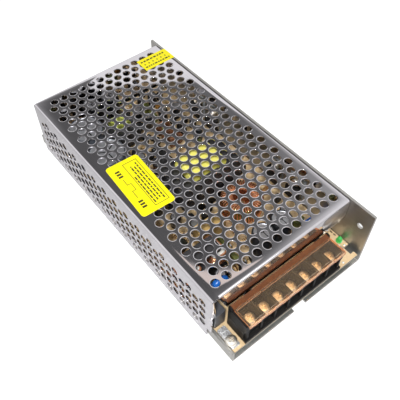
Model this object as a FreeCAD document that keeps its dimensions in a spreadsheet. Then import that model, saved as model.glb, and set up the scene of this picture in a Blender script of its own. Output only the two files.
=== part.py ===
import FreeCAD, Part
import math
import os
import Sketcher

# Mesh case switching power supply, in millimetres.
# X runs across the case, Y along it with the terminals at the front (-Y), Z up from the underside.
# The origin is the middle of the case on the surface that it stands on.
# Along Y the inner parts are placed from the front face of the mesh cover, across X from the edge
# of the circuit board that they stand beside, or from the middle of the case.

DIMENSIONS = {
    "case_width": 98,
    "case_length": 199,
    "case_height": 42,
    "terminal_shelf": 15.8,
    "rear_reach": 6.2,
    # Chassis: one folded aluminium sheet with a tall right wall and a low left flange.
    "chassis_sheet": 1.5,
    "chassis_bend": 0.6,
    "flange_height": 8.6,
    "floor_notch_width": 8.9,
    "floor_notch_depth": 4,
    "floor_notch_offset": 0.85,
    "side_hole": 3.8,
    "side_hole_front": 6.3,
    "side_hole_height": 28.5,
    "side_hole_spacing": 150,
    "base_hole": 4.2,
    "base_hole_spacing_x": 60,
    "base_hole_spacing_y": 150,
    # Cover: one folded steel sheet with the mesh in its top and left wall.
    "cover_sheet": 0.8,
    "cover_bend": 0.5,
    "slip_gap": 0.1,
    "side_gap": 0.2,
    "cover_edge_lift": 0.4,
    "cover_flange_depth": 10,
    "cover_flange_setback": 8,
    "rear_wall_lift": 2,
    "lip_height": 16,
    "lip_slope_inset": 4.5,
    "lip_slope_run": 5.4,
    "lip_slope_start": 2,
    "lip_corner": 3,
    "return_width": 2.2,
    "return_top_inset": 1.4,
    "return_height": 16.6,
    "corner_notch_depth": 3.5,
    "corner_notch_height": 8.8,
    # Mesh: six-sided holes with the open area of round holes 4.8 across.
    "mesh_hole_corners": 5.28,
    "mesh_pitch": 6.84,
    "mesh_row_pitch": 5.6,
    "mesh_columns": 13,
    "mesh_row_pairs": 15,
    "mesh_first_row": 7.3,
    "side_mesh_holes": 4,
    "side_mesh_lowest": 7.4,
    # Fasteners of the case.
    "case_screw_drop": 5,
    "case_screw_first": 20,
    "case_screw_spacing": 68,
    "case_screw_count": 3,
    "case_screw_head": 5.4,
    "case_screw_shank": 2.9,
    "case_screw_length": 5,
    "screw_clearance": 0.1,
    # Circuit board with its insulating sheet, standoffs and screws.
    "standoff_height": 5.3,
    "standoff_corners": 4.4,
    "board_thickness": 1.6,
    "board_side_gap": 0.4,
    "board_front_inset": 0.5,
    "board_rear_gap": 2.2,
    "board_cutout_width": 4.2,
    "board_cutout_front": 2.8,
    "board_cutout_length": 5.2,
    "insulating_sheet": 0.4,
    "insulating_sheet_setback": 6,
    "insulating_sheet_gap": 1.2,
    "board_screw_shank": 2.9,
    "board_screw_head": 5.4,
    "board_screw_head_height": 2,
    "board_screw_inset": 3.2,
    "board_screw_left_y": 62,
    "board_screw_right_y": 82,
    "board_screw_rear_inset": 5,
    "earth_screw_inset": 2.3,
    "earth_screw_front": 5.5,
    "earth_screw_head": 6.2,
    "earth_bracket_sheet": 1.2,
    "earth_bracket_width": 5.2,
    "earth_bracket_front": 1.5,
    "earth_bracket_length": 12.8,
    "earth_bracket_corner": 0.8,
    # Terminal block with seven poles under a hinged lid.
    "pole_count": 7,
    "pole_pitch": 9.5,
    "block_end": 1.75,
    "block_offset": 4,
    "block_depth": 14.6,
    "block_height": 17.6,
    "block_rear_wall": 2.8,
    "block_floor": 9.6,
    "block_fin": 1.6,
    "block_ledge_height": 2.4,
    "block_ledge_inset": 0.8,
    "ear_width": 0.9,
    "ear_rise": 2.2,
    "ear_depth": 3,
    "contact_sheet": 0.6,
    "contact_gap": 0.2,
    "clamp_washer_side": 6.6,
    "clamp_washer_height": 1,
    "terminal_screw_front": 5.4,
    "terminal_screw_head": 6,
    "terminal_screw_head_height": 2,
    "terminal_screw_shank": 3.4,
    "terminal_screw_reach": 5,
    "driver_slot_width": 1,
    "driver_slot_length": 4.2,
    "driver_slot_depth": 1,
    "lid_thickness": 1.5,
    "lid_gap": 0.1,
    "lid_lip": 0.4,
    "lid_lip_drop": 1.4,
    "lid_rear_inset": 0.2,
    "lid_frame": 2.2,
    "lid_panel_recess": 0.5,
    "lid_pin": 1,
    "lid_pin_length": 0.8,
    # Parts on the board.
    "led_inset": 2.5,
    "led_front": 2.5,
    "led_diameter": 3,
    "led_height": 3.8,
    "led_rim": 3.8,
    "led_rim_height": 1,
    "trimmer_inset": 8.6,
    "trimmer_y": 14.5,
    "trimmer_side": 6.6,
    "trimmer_height": 4.6,
    "trimmer_rotor": 4,
    "trimmer_rotor_rise": 0.5,
    "trimmer_rotor_seat": 1.5,
    "rotor_clearance": 0.1,
    "rotor_slot_width": 0.7,
    "rotor_slot_depth": 0.6,
    "input_block_width": 7.2,
    "input_block_length": 9.5,
    "input_block_height": 13.1,
    "input_block_y": 5.3,
    "disc_capacitor_inset": 13.2,
    "disc_capacitor_y": 13,
    "disc_capacitor_diameter": 13,
    "disc_capacitor_thickness": 4.6,
    "disc_capacitor_lift": 7.4,
    "lead": 0.8,
    "lead_pitch": 7.5,
    "filter_core_width": 22,
    "filter_core_height": 18,
    "filter_core_bar": 4.5,
    "filter_core_inset": 15.8,
    "filter_core_y": 32,
    "filter_winding_wall": 3,
    "winding_clearance": 0.2,
    "box_capacitor_width": 18,
    "box_capacitor_length": 8,
    "box_capacitor_height": 14,
    "box_capacitor_inset": 34,
    "box_capacitor_y": 46,
    "fuse_diameter": 5.2,
    "fuse_length": 20,
    "fuse_inset": 26.2,
    "fuse_y": 14,
    "fuse_cap_length": 5,
    "fuse_cap_wall": 0.4,
    "thermistor_diameter": 11,
    "thermistor_thickness": 5,
    "thermistor_inset": 13.2,
    "thermistor_y": 47.5,
    "thermistor_lift": 3,
    "bridge_width": 20,
    "bridge_thickness": 4,
    "bridge_height": 14,
    "bridge_lift": 2.5,
    "bridge_inset": 17,
    "bridge_y": 94,
    "bridge_lead_pitch": 5,
    "bridge_lead_count": 4,
    "bulk_diameter": 22,
    "bulk_height": 30,
    "bulk_inset": 12.8,
    "bulk_first_y": 115.5,
    "bulk_pitch": 24.5,
    "bulk_rim": 1,
    "bulk_recess": 0.5,
    "core_width": 44,
    "core_length": 25,
    "core_height": 16,
    "core_lift": 7,
    "core_window_width": 26,
    "core_window_length": 17,
    "core_middle_leg": 13,
    "core_offset": 7,
    "core_y": 77.5,
    "coil_rise": 5,
    "coil_gap": 0.2,
    "bobbin_sheet": 1.2,
    "bobbin_overhang": 5,
    "bobbin_pin_count": 6,
    "bobbin_pin_pitch": 4,
    "driver_width": 20,
    "driver_length": 18,
    "driver_height": 14,
    "driver_lift": 4,
    "driver_bar": 4,
    "driver_middle_leg": 5,
    "driver_coil_rise": 3.6,
    "driver_offset": -9,
    "driver_y": 141,
    "choke_outer": 26,
    "choke_hole": 9,
    "choke_height": 14,
    "choke_offset": 16,
    "choke_y": 50,
    "choke_sides": 24,
    "choke_chamfer": 2.4,
    "output_capacitor_diameter": 12.5,
    "output_capacitor_height": 25.6,
    "output_capacitor_offset": 1.5,
    "output_capacitor_pitch": 13.5,
    "output_capacitor_y": 18,
    "output_capacitor_count": 2,
    "rear_capacitor_offset": -15,
    "rear_capacitor_pitch": 14,
    "rear_capacitor_y": 165.5,
    "rear_capacitor_count": 2,
    "rear_capacitor_height": 22,
    "chip_width": 6.4,
    "chip_length": 19,
    "chip_height": 3.4,
    "chip_lift": 0.6,
    "chip_offset": 4,
    "chip_y": 112,
    "chip_pin_pitch": 2.54,
    "chip_pin_count": 8,
    "chip_pin": 0.6,
    "resistor_diameter": 3.6,
    "resistor_length": 10,
    "resistor_count": 5,
    "resistor_pitch": 6.4,
    "resistor_offset": -11,
    "resistor_y": 14,
    "small_film_width": 10,
    "small_film_length": 4,
    "small_film_height": 9,
    "small_film_count": 3,
    "small_film_pitch": 7,
    "small_film_offset": 18,
    "small_film_y": 118,
    # Power devices on the right wall.
    "device_width": 10.2,
    "device_thickness": 4.5,
    "device_height": 9,
    "device_lift": 4,
    "device_tab_height": 6.2,
    "device_tab_thickness": 1.3,
    "device_hole_height": 3.2,
    "device_lead": 0.8,
    "device_lead_pitch": 2.54,
    "device_screw_head": 5.2,
    "device_screw_head_height": 1.8,
    "device_pad_thickness": 0.4,
    "device_pad_margin": 1,
    "rectifier_y": 36,
    "rectifier_pitch": 17,
    "transistor_y": 112,
    "transistor_pitch": 17,
    "device_count": 2,
    # Labels on the top of the cover.
    "label_sheet": 0.12,
    "large_label_width": 21,
    "large_label_length": 41,
    "large_label_corner": 2,
    "large_label_inset": 14.8,
    "large_label_y": 80.2,
    "large_label_turn": -3,
    "small_label_width": 23.3,
    "small_label_length": 12,
    "small_label_y": 163.6,
}

doc = FreeCAD.newDocument("mesh_case_power_supply")
sheet = doc.addObject("Spreadsheet::Sheet", "sheet")
nodes = []


class Size:
    """A length with its number and the sheet formula that drives it."""

    def __init__(self, value, formula):
        self.value = float(value)
        self.formula = formula

    def __add__(self, other):
        other = as_size(other)
        return Size(self.value + other.value, "(%s + %s)" % (self.formula, other.formula))

    def __sub__(self, other):
        other = as_size(other)
        return Size(self.value - other.value, "(%s - %s)" % (self.formula, other.formula))

    def __mul__(self, other):
        other = as_size(other)
        return Size(self.value * other.value, "(%s * %s)" % (self.formula, other.formula))

    def __truediv__(self, other):
        other = as_size(other)
        return Size(self.value / other.value, "(%s / %s)" % (self.formula, other.formula))

    def __neg__(self):
        return Size(-self.value, "(0 - %s)" % self.formula)


class SheetSizes:
    """Gives each cell of the sheet by its name."""

    def __getattr__(self, name):
        return Size(DIMENSIONS[name], "sheet." + name)


def as_size(number):
    if isinstance(number, Size):
        return number
    return Size(number, "(%s)" % repr(number))


def fill_sheet():
    for row, (name, value) in enumerate(DIMENSIONS.items(), start=1):
        sheet.set("A%d" % row, name)
        sheet.set("B%d" % row, str(value))
        sheet.setAlias("B%d" % row, name)
    doc.recompute()


def bind(feature, prop, size):
    feature.setExpression(prop, as_size(size).formula)


def place(feature, x, y, z):
    for axis, size in zip("xyz", (x, y, z)):
        bind(feature, "Placement.Base." + axis, size)
    return feature


def node(name, feature):
    """Marks a feature as a piece of the product, under its own name."""
    feature.Label = name
    nodes.append(feature)
    return feature


# Plain solids.

def box(name, x, y, z, length, width, height):
    solid = doc.addObject("Part::Box", name + "_box")
    bind(solid, "Length", length)
    bind(solid, "Width", width)
    bind(solid, "Height", height)
    return place(solid, x, y, z)


def centred_box(name, x, y, z, length, width, height):
    return box(name, x - length / 2, y - width / 2, z, length, width, height)


AXIS_TURNS = {
    "X": FreeCAD.Rotation(FreeCAD.Vector(0, 1, 0), 90),
    "Y": FreeCAD.Rotation(FreeCAD.Vector(1, 0, 0), -90),
    "Z": FreeCAD.Rotation(),
}


def cylinder(name, x, y, z, diameter, height, axis="Z"):
    solid = doc.addObject("Part::Cylinder", name + "_round")
    bind(solid, "Radius", diameter / 2)
    bind(solid, "Height", height)
    solid.Placement = FreeCAD.Placement(FreeCAD.Vector(), AXIS_TURNS[axis])
    return place(solid, x, y, z)


def cone(name, x, y, z, start, end, height, axis="Z"):
    solid = doc.addObject("Part::Cone", name + "_cone")
    bind(solid, "Radius1", start / 2)
    bind(solid, "Radius2", end / 2)
    bind(solid, "Height", height)
    solid.Placement = FreeCAD.Placement(FreeCAD.Vector(), AXIS_TURNS[axis])
    return place(solid, x, y, z)


def hexagon(name, x, y, z, corners, height):
    solid = doc.addObject("Part::Prism", name + "_hexagon")
    solid.Polygon = 6
    bind(solid, "Circumradius", corners / 2)
    bind(solid, "Height", height)
    return place(solid, x, y, z)


def group(name, shapes):
    together = doc.addObject("Part::Compound", name + "_group")
    together.Links = shapes
    return together


def cut(name, base, tools):
    result = doc.addObject("Part::Cut", name + "_cut")
    result.Base = base
    result.Tool = group(name + "_tools", tools) if len(tools) > 1 else tools[0]
    return result


def fuse(name, shapes):
    result = doc.addObject("Part::MultiFuse", name + "_fused")
    result.Shapes = shapes
    return result


# Sketched solids. Each plane gives its role, the sign of its offset, and whether a pad and a pocket
# are reversed to run towards the positive axis.

PLANES = {
    "XY": ("XY_Plane", 1, False, True),
    "XZ": ("XZ_Plane", -1, True, False),
    "YZ": ("YZ_Plane", 1, False, True),
}


def new_body(name):
    return doc.addObject("PartDesign::Body", name + "_body")


def attached_sketch(body, plane, start):
    role, sign, _, _ = PLANES[plane]
    sketch = body.newObject("Sketcher::SketchObject", body.Name + "_sketch")
    origin_plane = [feature for feature in body.Origin.OriginFeatures if feature.Role == role][0]
    sketch.AttachmentSupport = (origin_plane, [""])
    sketch.MapMode = "FlatFace"
    bind(sketch, "AttachmentOffset.Base.z", as_size(start) if sign > 0 else -as_size(start))
    return sketch


def constrain(sketch, kind, geometry, size):
    number = sketch.addConstraint(Sketcher.Constraint(kind, *geometry, size.value))
    sketch.setExpression("Constraints[%d]" % number, size.formula)


def locate(sketch, line, end, u, v):
    constrain(sketch, "DistanceX", (-1, 1, line, end), u)
    constrain(sketch, "DistanceY", (-1, 1, line, end), v)


def direction(start, end):
    """The unit step between two corners that lie on one axis."""
    du = end[0].value - start[0].value
    dv = end[1].value - start[1].value
    if abs(du) > abs(dv):
        return math.copysign(1, du), 0.0
    return 0.0, math.copysign(1, dv)


def rounded_corner(before, corner, after):
    """The two tangent points, the centre and the radius of a rounded square corner."""
    u, v, radius = corner
    radius = as_size(radius)
    into = direction(before, corner)
    out = direction(corner, after)
    entry = (u - radius * into[0], v - radius * into[1])
    leave = (u + radius * out[0], v + radius * out[1])
    centre = (entry[0] + radius * out[0], entry[1] + radius * out[1])
    turns_left = into[0] * out[1] - into[1] * out[0] > 0
    return entry, leave, centre, radius, turns_left


def vector(point):
    return FreeCAD.Vector(point[0].value, point[1].value, 0)


def draw_outline(sketch, corners):
    """Draws a closed outline. A corner with a third value is rounded to that radius."""
    corners = [tuple(as_size(value) for value in corner) for corner in corners]
    stops = []
    arcs = []
    for index, corner in enumerate(corners):
        if len(corner) == 2:
            stops.append((corner, corner))
            continue
        before = corners[index - 1]
        after = corners[(index + 1) % len(corners)]
        entry, leave, centre, radius, turns_left = rounded_corner(before, corner, after)
        stops.append((entry, leave))
        arcs.append((index, entry, leave, centre, radius, turns_left))
    count = len(corners)
    lines = []
    for index in range(count):
        start = stops[index][1]
        end = stops[(index + 1) % count][0]
        line = sketch.addGeometry(Part.LineSegment(vector(start), vector(end)), False)
        locate(sketch, line, 1, *start)
        lines.append(line)
    for index in range(count):
        following = (index + 1) % count
        if len(corners[following]) == 2:
            joint = Sketcher.Constraint("Coincident", lines[index], 2, lines[following], 1)
            sketch.addConstraint(joint)
        else:
            locate(sketch, lines[index], 2, *stops[following][0])
    for index, entry, leave, centre, radius, turns_left in arcs:
        away = vector(corners[index]) - vector(centre)
        middle = vector(centre) + away.normalize() * radius.value
        arc = sketch.addGeometry(Part.Arc(vector(entry), middle, vector(leave)), False)
        first, last = (1, 2) if turns_left else (2, 1)
        sketch.addConstraint(Sketcher.Constraint("Coincident", lines[index - 1], 2, arc, first))
        sketch.addConstraint(Sketcher.Constraint("Coincident", lines[index], 1, arc, last))
        constrain(sketch, "Radius", (arc,), radius)


def draw_circle(sketch, u, v, diameter):
    centre = FreeCAD.Vector(u.value, v.value, 0)
    up = FreeCAD.Vector(0, 0, 1)
    circle = sketch.addGeometry(Part.Circle(centre, up, diameter.value / 2), False)
    locate(sketch, circle, 3, u, v)
    constrain(sketch, "Diameter", (circle,), diameter)


def pad(body, plane, corners, start, length):
    sketch = attached_sketch(body, plane, start)
    draw_outline(sketch, corners)
    feature = body.newObject("PartDesign::Pad", body.Name + "_pad")
    feature.Profile = sketch
    feature.Reversed = PLANES[plane][2]
    bind(feature, "Length", length)
    return feature


def cut_sketch(body, plane, sketch, length):
    feature = body.newObject("PartDesign::Pocket", body.Name + "_pocket")
    feature.Profile = sketch
    feature.Reversed = PLANES[plane][3]
    bind(feature, "Length", length)
    return feature


def pocket(body, plane, outlines, start, length):
    sketch = attached_sketch(body, plane, start)
    for corners in outlines:
        draw_outline(sketch, corners)
    return cut_sketch(body, plane, sketch, length)


def round_pocket(body, plane, u, v, diameter, start, length):
    sketch = attached_sketch(body, plane, start)
    draw_circle(sketch, u, v, diameter)
    return cut_sketch(body, plane, sketch, length)


def rectangle(u_low, v_low, u_high, v_high, radius=None):
    corners = [(u_low, v_low), (u_high, v_low), (u_high, v_high), (u_low, v_high)]
    if radius is None:
        return corners
    return [corner + (radius,) for corner in corners]


def polygon(u, v, corners, sides, turn):
    """A regular polygon with the given distance across its corners."""
    points = []
    for index in range(sides):
        angle = math.radians(turn + 360.0 / sides * index)
        radius = corners / 2
        points.append((u + radius * round(math.cos(angle), 9), v + radius * round(math.sin(angle), 9)))
    return points


def repeat(body, feature, along_u, along_v=None):
    """Repeats a pocket in a row or over a grid. Each way gives its pitch and its count."""
    feature.Refine = False
    pattern = body.newObject("PartDesign::LinearPattern", body.Name + "_pattern")
    pattern.Originals = [feature]
    pattern.Refine = False
    pattern.Direction = (feature.Profile[0], ["H_Axis"])
    pattern.Mode = "Spacing"
    bind(pattern, "Offset", along_u[0])
    bind(pattern, "Occurrences", along_u[1])
    if along_v is not None:
        pattern.Direction2 = (feature.Profile[0], ["V_Axis"])
        pattern.Mode2 = "Spacing"
        bind(pattern, "Offset2", along_v[0])
        bind(pattern, "Occurrences2", along_v[1])
    body.Tip = pattern


fill_sheet()
d = SheetSizes()

# Planes and edges that several pieces share.

left = -d.case_width / 2
right = d.case_width / 2
front = -d.case_length / 2
rear = d.case_length / 2
cover_front = front + d.terminal_shelf
cover_rear = rear - d.rear_reach
cover_length = cover_rear - cover_front
cover_under = d.case_height - d.cover_sheet
wall_inner = right - d.chassis_sheet
flange_outer = left + d.cover_sheet + d.slip_gap
flange_inner = flange_outer + d.chassis_sheet
cover_right = wall_inner - d.side_gap
chassis_outer_bend = d.chassis_bend + d.chassis_sheet
cover_outer_bend = d.cover_bend + d.cover_sheet
board_bottom = d.chassis_sheet + d.standoff_height
board_top = board_bottom + d.board_thickness
board_left = flange_inner + d.board_side_gap
board_right = wall_inner - d.board_side_gap
board_front = front + d.board_front_inset
board_rear = cover_rear - d.cover_sheet - d.board_rear_gap
earth_screw_x = board_left + d.earth_screw_inset
earth_screw_y = board_front + d.earth_screw_front


def board_screw_places():
    left_x = board_left + d.board_screw_inset
    right_x = board_right - d.board_screw_inset
    rear_y = board_rear - d.board_screw_rear_inset
    return [
        (left_x, cover_front + d.board_screw_left_y),
        (left_x, rear_y),
        (right_x, cover_front + d.board_screw_right_y),
        (right_x, rear_y),
    ]


def spread(start, pitch, count):
    return [start + pitch * index for index in range(int(count))]


def case_screw_rows():
    return spread(cover_front + d.case_screw_first, d.case_screw_spacing, DIMENSIONS["case_screw_count"])


def device_rows(first, pitch):
    return spread(cover_front + first, pitch, DIMENSIONS["device_count"])


def terminal_places():
    count = DIMENSIONS["pole_count"]
    first = -d.block_offset - d.pole_pitch * ((count - 1) / 2)
    return spread(first, d.pole_pitch, count)


case_screw_z = d.case_height - d.case_screw_drop
device_bottom = board_top + d.device_lift
device_screw_z = device_bottom + d.device_height + d.device_hole_height
device_back = wall_inner - d.device_pad_thickness


# Chassis.

def chassis_section():
    """The folded sheet seen from the front: left flange, floor and right wall."""
    return [
        (flange_outer, 0, chassis_outer_bend),
        (right, 0, chassis_outer_bend),
        (right, d.case_height),
        (wall_inner, d.case_height),
        (wall_inner, d.chassis_sheet, d.chassis_bend),
        (flange_inner, d.chassis_sheet, d.chassis_bend),
        (flange_inner, d.flange_height),
        (flange_outer, d.flange_height),
    ]


def chassis_holes():
    through = d.chassis_sheet * 2
    holes = []
    for x in (-d.base_hole_spacing_x / 2, d.base_hole_spacing_x / 2):
        for y in (-d.base_hole_spacing_y / 2, d.base_hole_spacing_y / 2):
            holes.append(cylinder("base_hole", x, y, -d.chassis_sheet / 2, d.base_hole, through))
    wall_x = wall_inner - d.chassis_sheet / 2
    first = front + d.side_hole_front
    for y in (first, first + d.side_hole_spacing):
        holes.append(cylinder("side_hole", wall_x, y, d.side_hole_height, d.side_hole, through, "X"))
    for y in case_screw_rows():
        diameter = d.case_screw_shank + d.screw_clearance
        head = d.case_screw_head + d.screw_clearance
        holes.append(cylinder("case_hole", wall_x, y, case_screw_z, diameter, through, "X"))
        holes.append(cone("case_sink", wall_inner, y, case_screw_z, diameter, head, d.chassis_sheet, "X"))
    for y in all_device_rows():
        diameter = d.case_screw_shank + d.screw_clearance
        holes.append(cylinder("device_hole", wall_x, y, device_screw_z, diameter, through, "X"))
    return holes


def all_device_rows():
    rectifiers = device_rows(d.rectifier_y, d.rectifier_pitch)
    transistors = device_rows(d.transistor_y, d.transistor_pitch)
    return rectifiers + transistors


def make_chassis():
    body = new_body("chassis")
    pad(body, "XZ", chassis_section(), front, d.case_length)
    notch_left = d.floor_notch_offset - d.floor_notch_width / 2
    notch = rectangle(notch_left, front, notch_left + d.floor_notch_width, front + d.floor_notch_depth)
    pocket(body, "XY", [notch], -d.chassis_sheet, d.chassis_sheet * 3)
    node("chassis", cut("chassis", body, chassis_holes()))


# Cover.

def cover_section():
    """The folded sheet seen from the front: left wall, top and right flange."""
    flange_inside = cover_right - d.cover_sheet
    flange_bottom = d.case_height - d.cover_flange_depth
    return [
        (left, d.cover_edge_lift),
        (left + d.cover_sheet, d.cover_edge_lift),
        (left + d.cover_sheet, cover_under, d.cover_bend),
        (flange_inside, cover_under, d.cover_bend),
        (flange_inside, flange_bottom),
        (cover_right, flange_bottom),
        (cover_right, d.case_height, cover_outer_bend),
        (left, d.case_height, cover_outer_bend),
    ]


def front_lip_outline():
    """The lip seen from the front, cut off at a slant on its left."""
    top = d.case_height - d.lip_slope_start
    bottom = d.case_height - d.lip_height
    slope_left = left + d.lip_slope_inset
    return [
        (slope_left, top),
        (slope_left + d.lip_slope_run, bottom),
        (cover_right, bottom, d.lip_corner),
        (cover_right, top),
    ]


def mesh_hole(u, v, turn):
    return polygon(u, v, d.mesh_hole_corners, 6, turn)


def add_mesh(body):
    """Staggered holes through the top and the left wall. Every second row of the top has one fewer."""
    start = -d.cover_sheet
    depth = d.cover_sheet * 3
    half_pitch = d.mesh_pitch / 2
    first_x = -d.mesh_pitch * ((DIMENSIONS["mesh_columns"] - 1) / 2)
    first_y = cover_front + d.mesh_first_row
    second_y = first_y + d.mesh_row_pitch
    rows = (d.mesh_row_pitch * 2, d.mesh_row_pairs)
    low = d.side_mesh_lowest
    pair = [mesh_hole(first_y, low + half_pitch, 0), mesh_hole(second_y, low, 0)]
    repeat(body, pocket(body, "YZ", pair, left + start, depth), rows, (d.mesh_pitch, d.side_mesh_holes))
    last = [mesh_hole(-first_x, first_y, 30)]
    repeat(body, pocket(body, "XY", last, cover_under + start, depth), (d.mesh_pitch, 1), rows)
    pair = [mesh_hole(first_x, first_y, 30), mesh_hole(first_x + half_pitch, second_y, 30)]
    columns = (d.mesh_pitch, d.mesh_columns - 1)
    repeat(body, pocket(body, "XY", pair, cover_under + start, depth), columns, rows)


def make_cover():
    body = new_body("cover")
    sheet_thickness = d.cover_sheet
    pad(body, "XZ", cover_section(), cover_front, cover_length)
    inner_left = left + sheet_thickness
    flange_bottom = d.case_height - d.cover_flange_depth
    # The flange stops short of both ends.
    reliefs = []
    for y in (cover_front, cover_rear - d.cover_flange_setback):
        reliefs.append(rectangle(cover_right - sheet_thickness * 2, y, cover_right + d.side_gap / 2,
                                 y + d.cover_flange_setback))
    pocket(body, "XY", reliefs, flange_bottom - sheet_thickness, d.cover_flange_depth - sheet_thickness)
    # The bend of the front lip runs on from the top sheet.
    bend_left = left + d.lip_slope_inset
    lip_bend = [
        (cover_front + sheet_thickness, d.case_height - d.lip_slope_start),
        (cover_front + sheet_thickness, cover_under, d.cover_bend),
        (cover_front + sheet_thickness * 3, cover_under),
        (cover_front + sheet_thickness * 3, d.case_height),
        (cover_front, d.case_height, cover_outer_bend),
        (cover_front, d.case_height - d.lip_slope_start),
    ]
    lip_length = cover_right - bend_left
    round_off = rectangle(cover_front - sheet_thickness, cover_under - sheet_thickness * 2,
                          cover_front + cover_outer_bend, d.case_height + sheet_thickness)
    pocket(body, "YZ", [round_off], bend_left, lip_length + sheet_thickness)
    pad(body, "YZ", lip_bend, bend_left, lip_length)
    pad(body, "XZ", front_lip_outline(), cover_front, sheet_thickness)
    # The rear wall closes the back and steps round the chassis flange.
    step_x = flange_inner + d.side_gap
    step_z = d.flange_height + d.side_gap
    rear_wall = [
        (step_x, d.rear_wall_lift),
        (cover_right, d.rear_wall_lift),
        (cover_right, cover_under),
        (inner_left, cover_under),
        (inner_left, step_z),
        (step_x, step_z),
    ]
    pad(body, "XZ", rear_wall, cover_rear - sheet_thickness, sheet_thickness)
    # The narrow return at the front of the left wall.
    return_top = d.case_height - d.return_top_inset
    front_return = rectangle(left, return_top - d.return_height, left + d.return_width, return_top)
    pad(body, "XZ", front_return, cover_front, sheet_thickness)
    notch = rectangle(cover_front - sheet_thickness, 0, cover_front + d.corner_notch_depth,
                      d.corner_notch_height)
    pocket(body, "YZ", [notch], left - sheet_thickness, sheet_thickness * 3)
    screw_hole = round_pocket(body, "YZ", case_screw_rows()[0], case_screw_z,
                              d.case_screw_shank + d.screw_clearance, cover_right - sheet_thickness * 2,
                              sheet_thickness * 3)
    repeat(body, screw_hole, (d.case_screw_spacing, d.case_screw_count))
    add_mesh(body)
    node("cover", body)


def make_case_screws():
    screws = []
    for y in case_screw_rows():
        head = cone("case_screw", wall_inner, y, case_screw_z, d.case_screw_shank, d.case_screw_head,
                    d.chassis_sheet, "X")
        shank = cylinder("case_screw", right - d.case_screw_length, y, case_screw_z, d.case_screw_shank,
                         d.case_screw_length - d.chassis_sheet / 2, "X")
        screws.append(fuse("case_screw", [head, shank]))
    node("case_screws", group("case_screws", screws))


# Board and what holds it.

def all_board_holes():
    return [(earth_screw_x, earth_screw_y)] + board_screw_places()


def make_board():
    body = new_body("circuit_board")
    cutout_front = board_front + d.board_cutout_front
    cutout_rear = cutout_front + d.board_cutout_length
    cutout_left = board_right - d.board_cutout_width
    outline = [
        (board_left, board_front),
        (board_right - d.lip_corner / 2, board_front),
        (board_right - d.lip_corner / 2, cutout_front),
        (cutout_left, cutout_front),
        (cutout_left, cutout_rear),
        (board_right, cutout_rear),
        (board_right, board_rear),
        (board_left, board_rear),
    ]
    pad(body, "XY", outline, board_bottom, d.board_thickness)
    diameter = d.board_screw_shank + d.screw_clearance
    holes = []
    for x, y in all_board_holes():
        holes.append(cylinder("board_hole", x, y, board_bottom - d.board_thickness, diameter,
                              d.board_thickness * 3))
    node("circuit_board", cut("circuit_board", body, holes))


def make_standoffs():
    standoffs = []
    for x, y in all_board_holes():
        post = hexagon("standoff", x, y, d.chassis_sheet, d.standoff_corners, d.standoff_height)
        bore = cylinder("standoff", x, y, d.chassis_sheet, d.board_screw_shank + d.screw_clearance,
                        d.standoff_height)
        standoffs.append(cut("standoff", post, [bore]))
    node("standoffs", group("standoffs", standoffs))


def make_insulating_sheet():
    x = flange_inner + d.chassis_bend
    y = board_front + d.insulating_sheet_setback
    width = wall_inner - d.chassis_bend - x
    plate = box("insulating_sheet", x, y, d.chassis_sheet, width, board_rear - y, d.insulating_sheet)
    openings = []
    for x, y in all_board_holes():
        side = d.standoff_corners + d.insulating_sheet_gap * 2
        openings.append(centred_box("sheet_opening", x, y, d.chassis_sheet - d.insulating_sheet, side, side,
                                    d.insulating_sheet * 3))
    node("insulating_sheet", cut("insulating_sheet", plate, openings))


def pan_screw(name, x, y, seat, head, head_height, shank, shank_length):
    top = cylinder(name, x, y, seat, head, head_height)
    stem = cylinder(name, x, y, seat - shank_length, shank, shank_length)
    return fuse(name, [top, stem])


def make_board_screws():
    reach = d.board_thickness + d.standoff_height - d.insulating_sheet
    screws = []
    for x, y in board_screw_places():
        screws.append(pan_screw("board_screw", x, y, board_top, d.board_screw_head,
                                d.board_screw_head_height, d.board_screw_shank, reach))
    node("board_screws", group("board_screws", screws))


def make_earth_bracket():
    body = new_body("earth_bracket")
    y = board_front + d.earth_bracket_front
    outline = rectangle(board_left, y, board_left + d.earth_bracket_width, y + d.earth_bracket_length,
                        d.earth_bracket_corner)
    pad(body, "XY", outline, board_top, d.earth_bracket_sheet)
    hole = cylinder("earth_hole", earth_screw_x, earth_screw_y, board_top - d.earth_bracket_sheet,
                    d.board_screw_shank + d.screw_clearance, d.earth_bracket_sheet * 3)
    node("earth_bracket", cut("earth_bracket", body, [hole]))
    seat = board_top + d.earth_bracket_sheet
    reach = d.earth_bracket_sheet + d.board_thickness + d.standoff_height - d.insulating_sheet
    node("earth_screw", pan_screw("earth_screw", earth_screw_x, earth_screw_y, seat, d.earth_screw_head,
                                  d.board_screw_head_height, d.board_screw_shank, reach))


# Terminal block.

block_width = d.pole_pitch * d.pole_count + d.block_end * 2
block_left = -d.block_offset - block_width / 2
block_right = -d.block_offset + block_width / 2
block_front = board_front
block_rear = block_front + d.block_depth
block_top = board_top + d.block_height
block_floor = board_top + d.block_floor
terminal_y = block_front + d.terminal_screw_front
lid_bottom = block_top + d.lid_gap
lid_axis_y = block_rear - d.lid_rear_inset - d.lid_thickness / 2
lid_axis_z = lid_bottom + d.lid_thickness / 2


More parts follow.
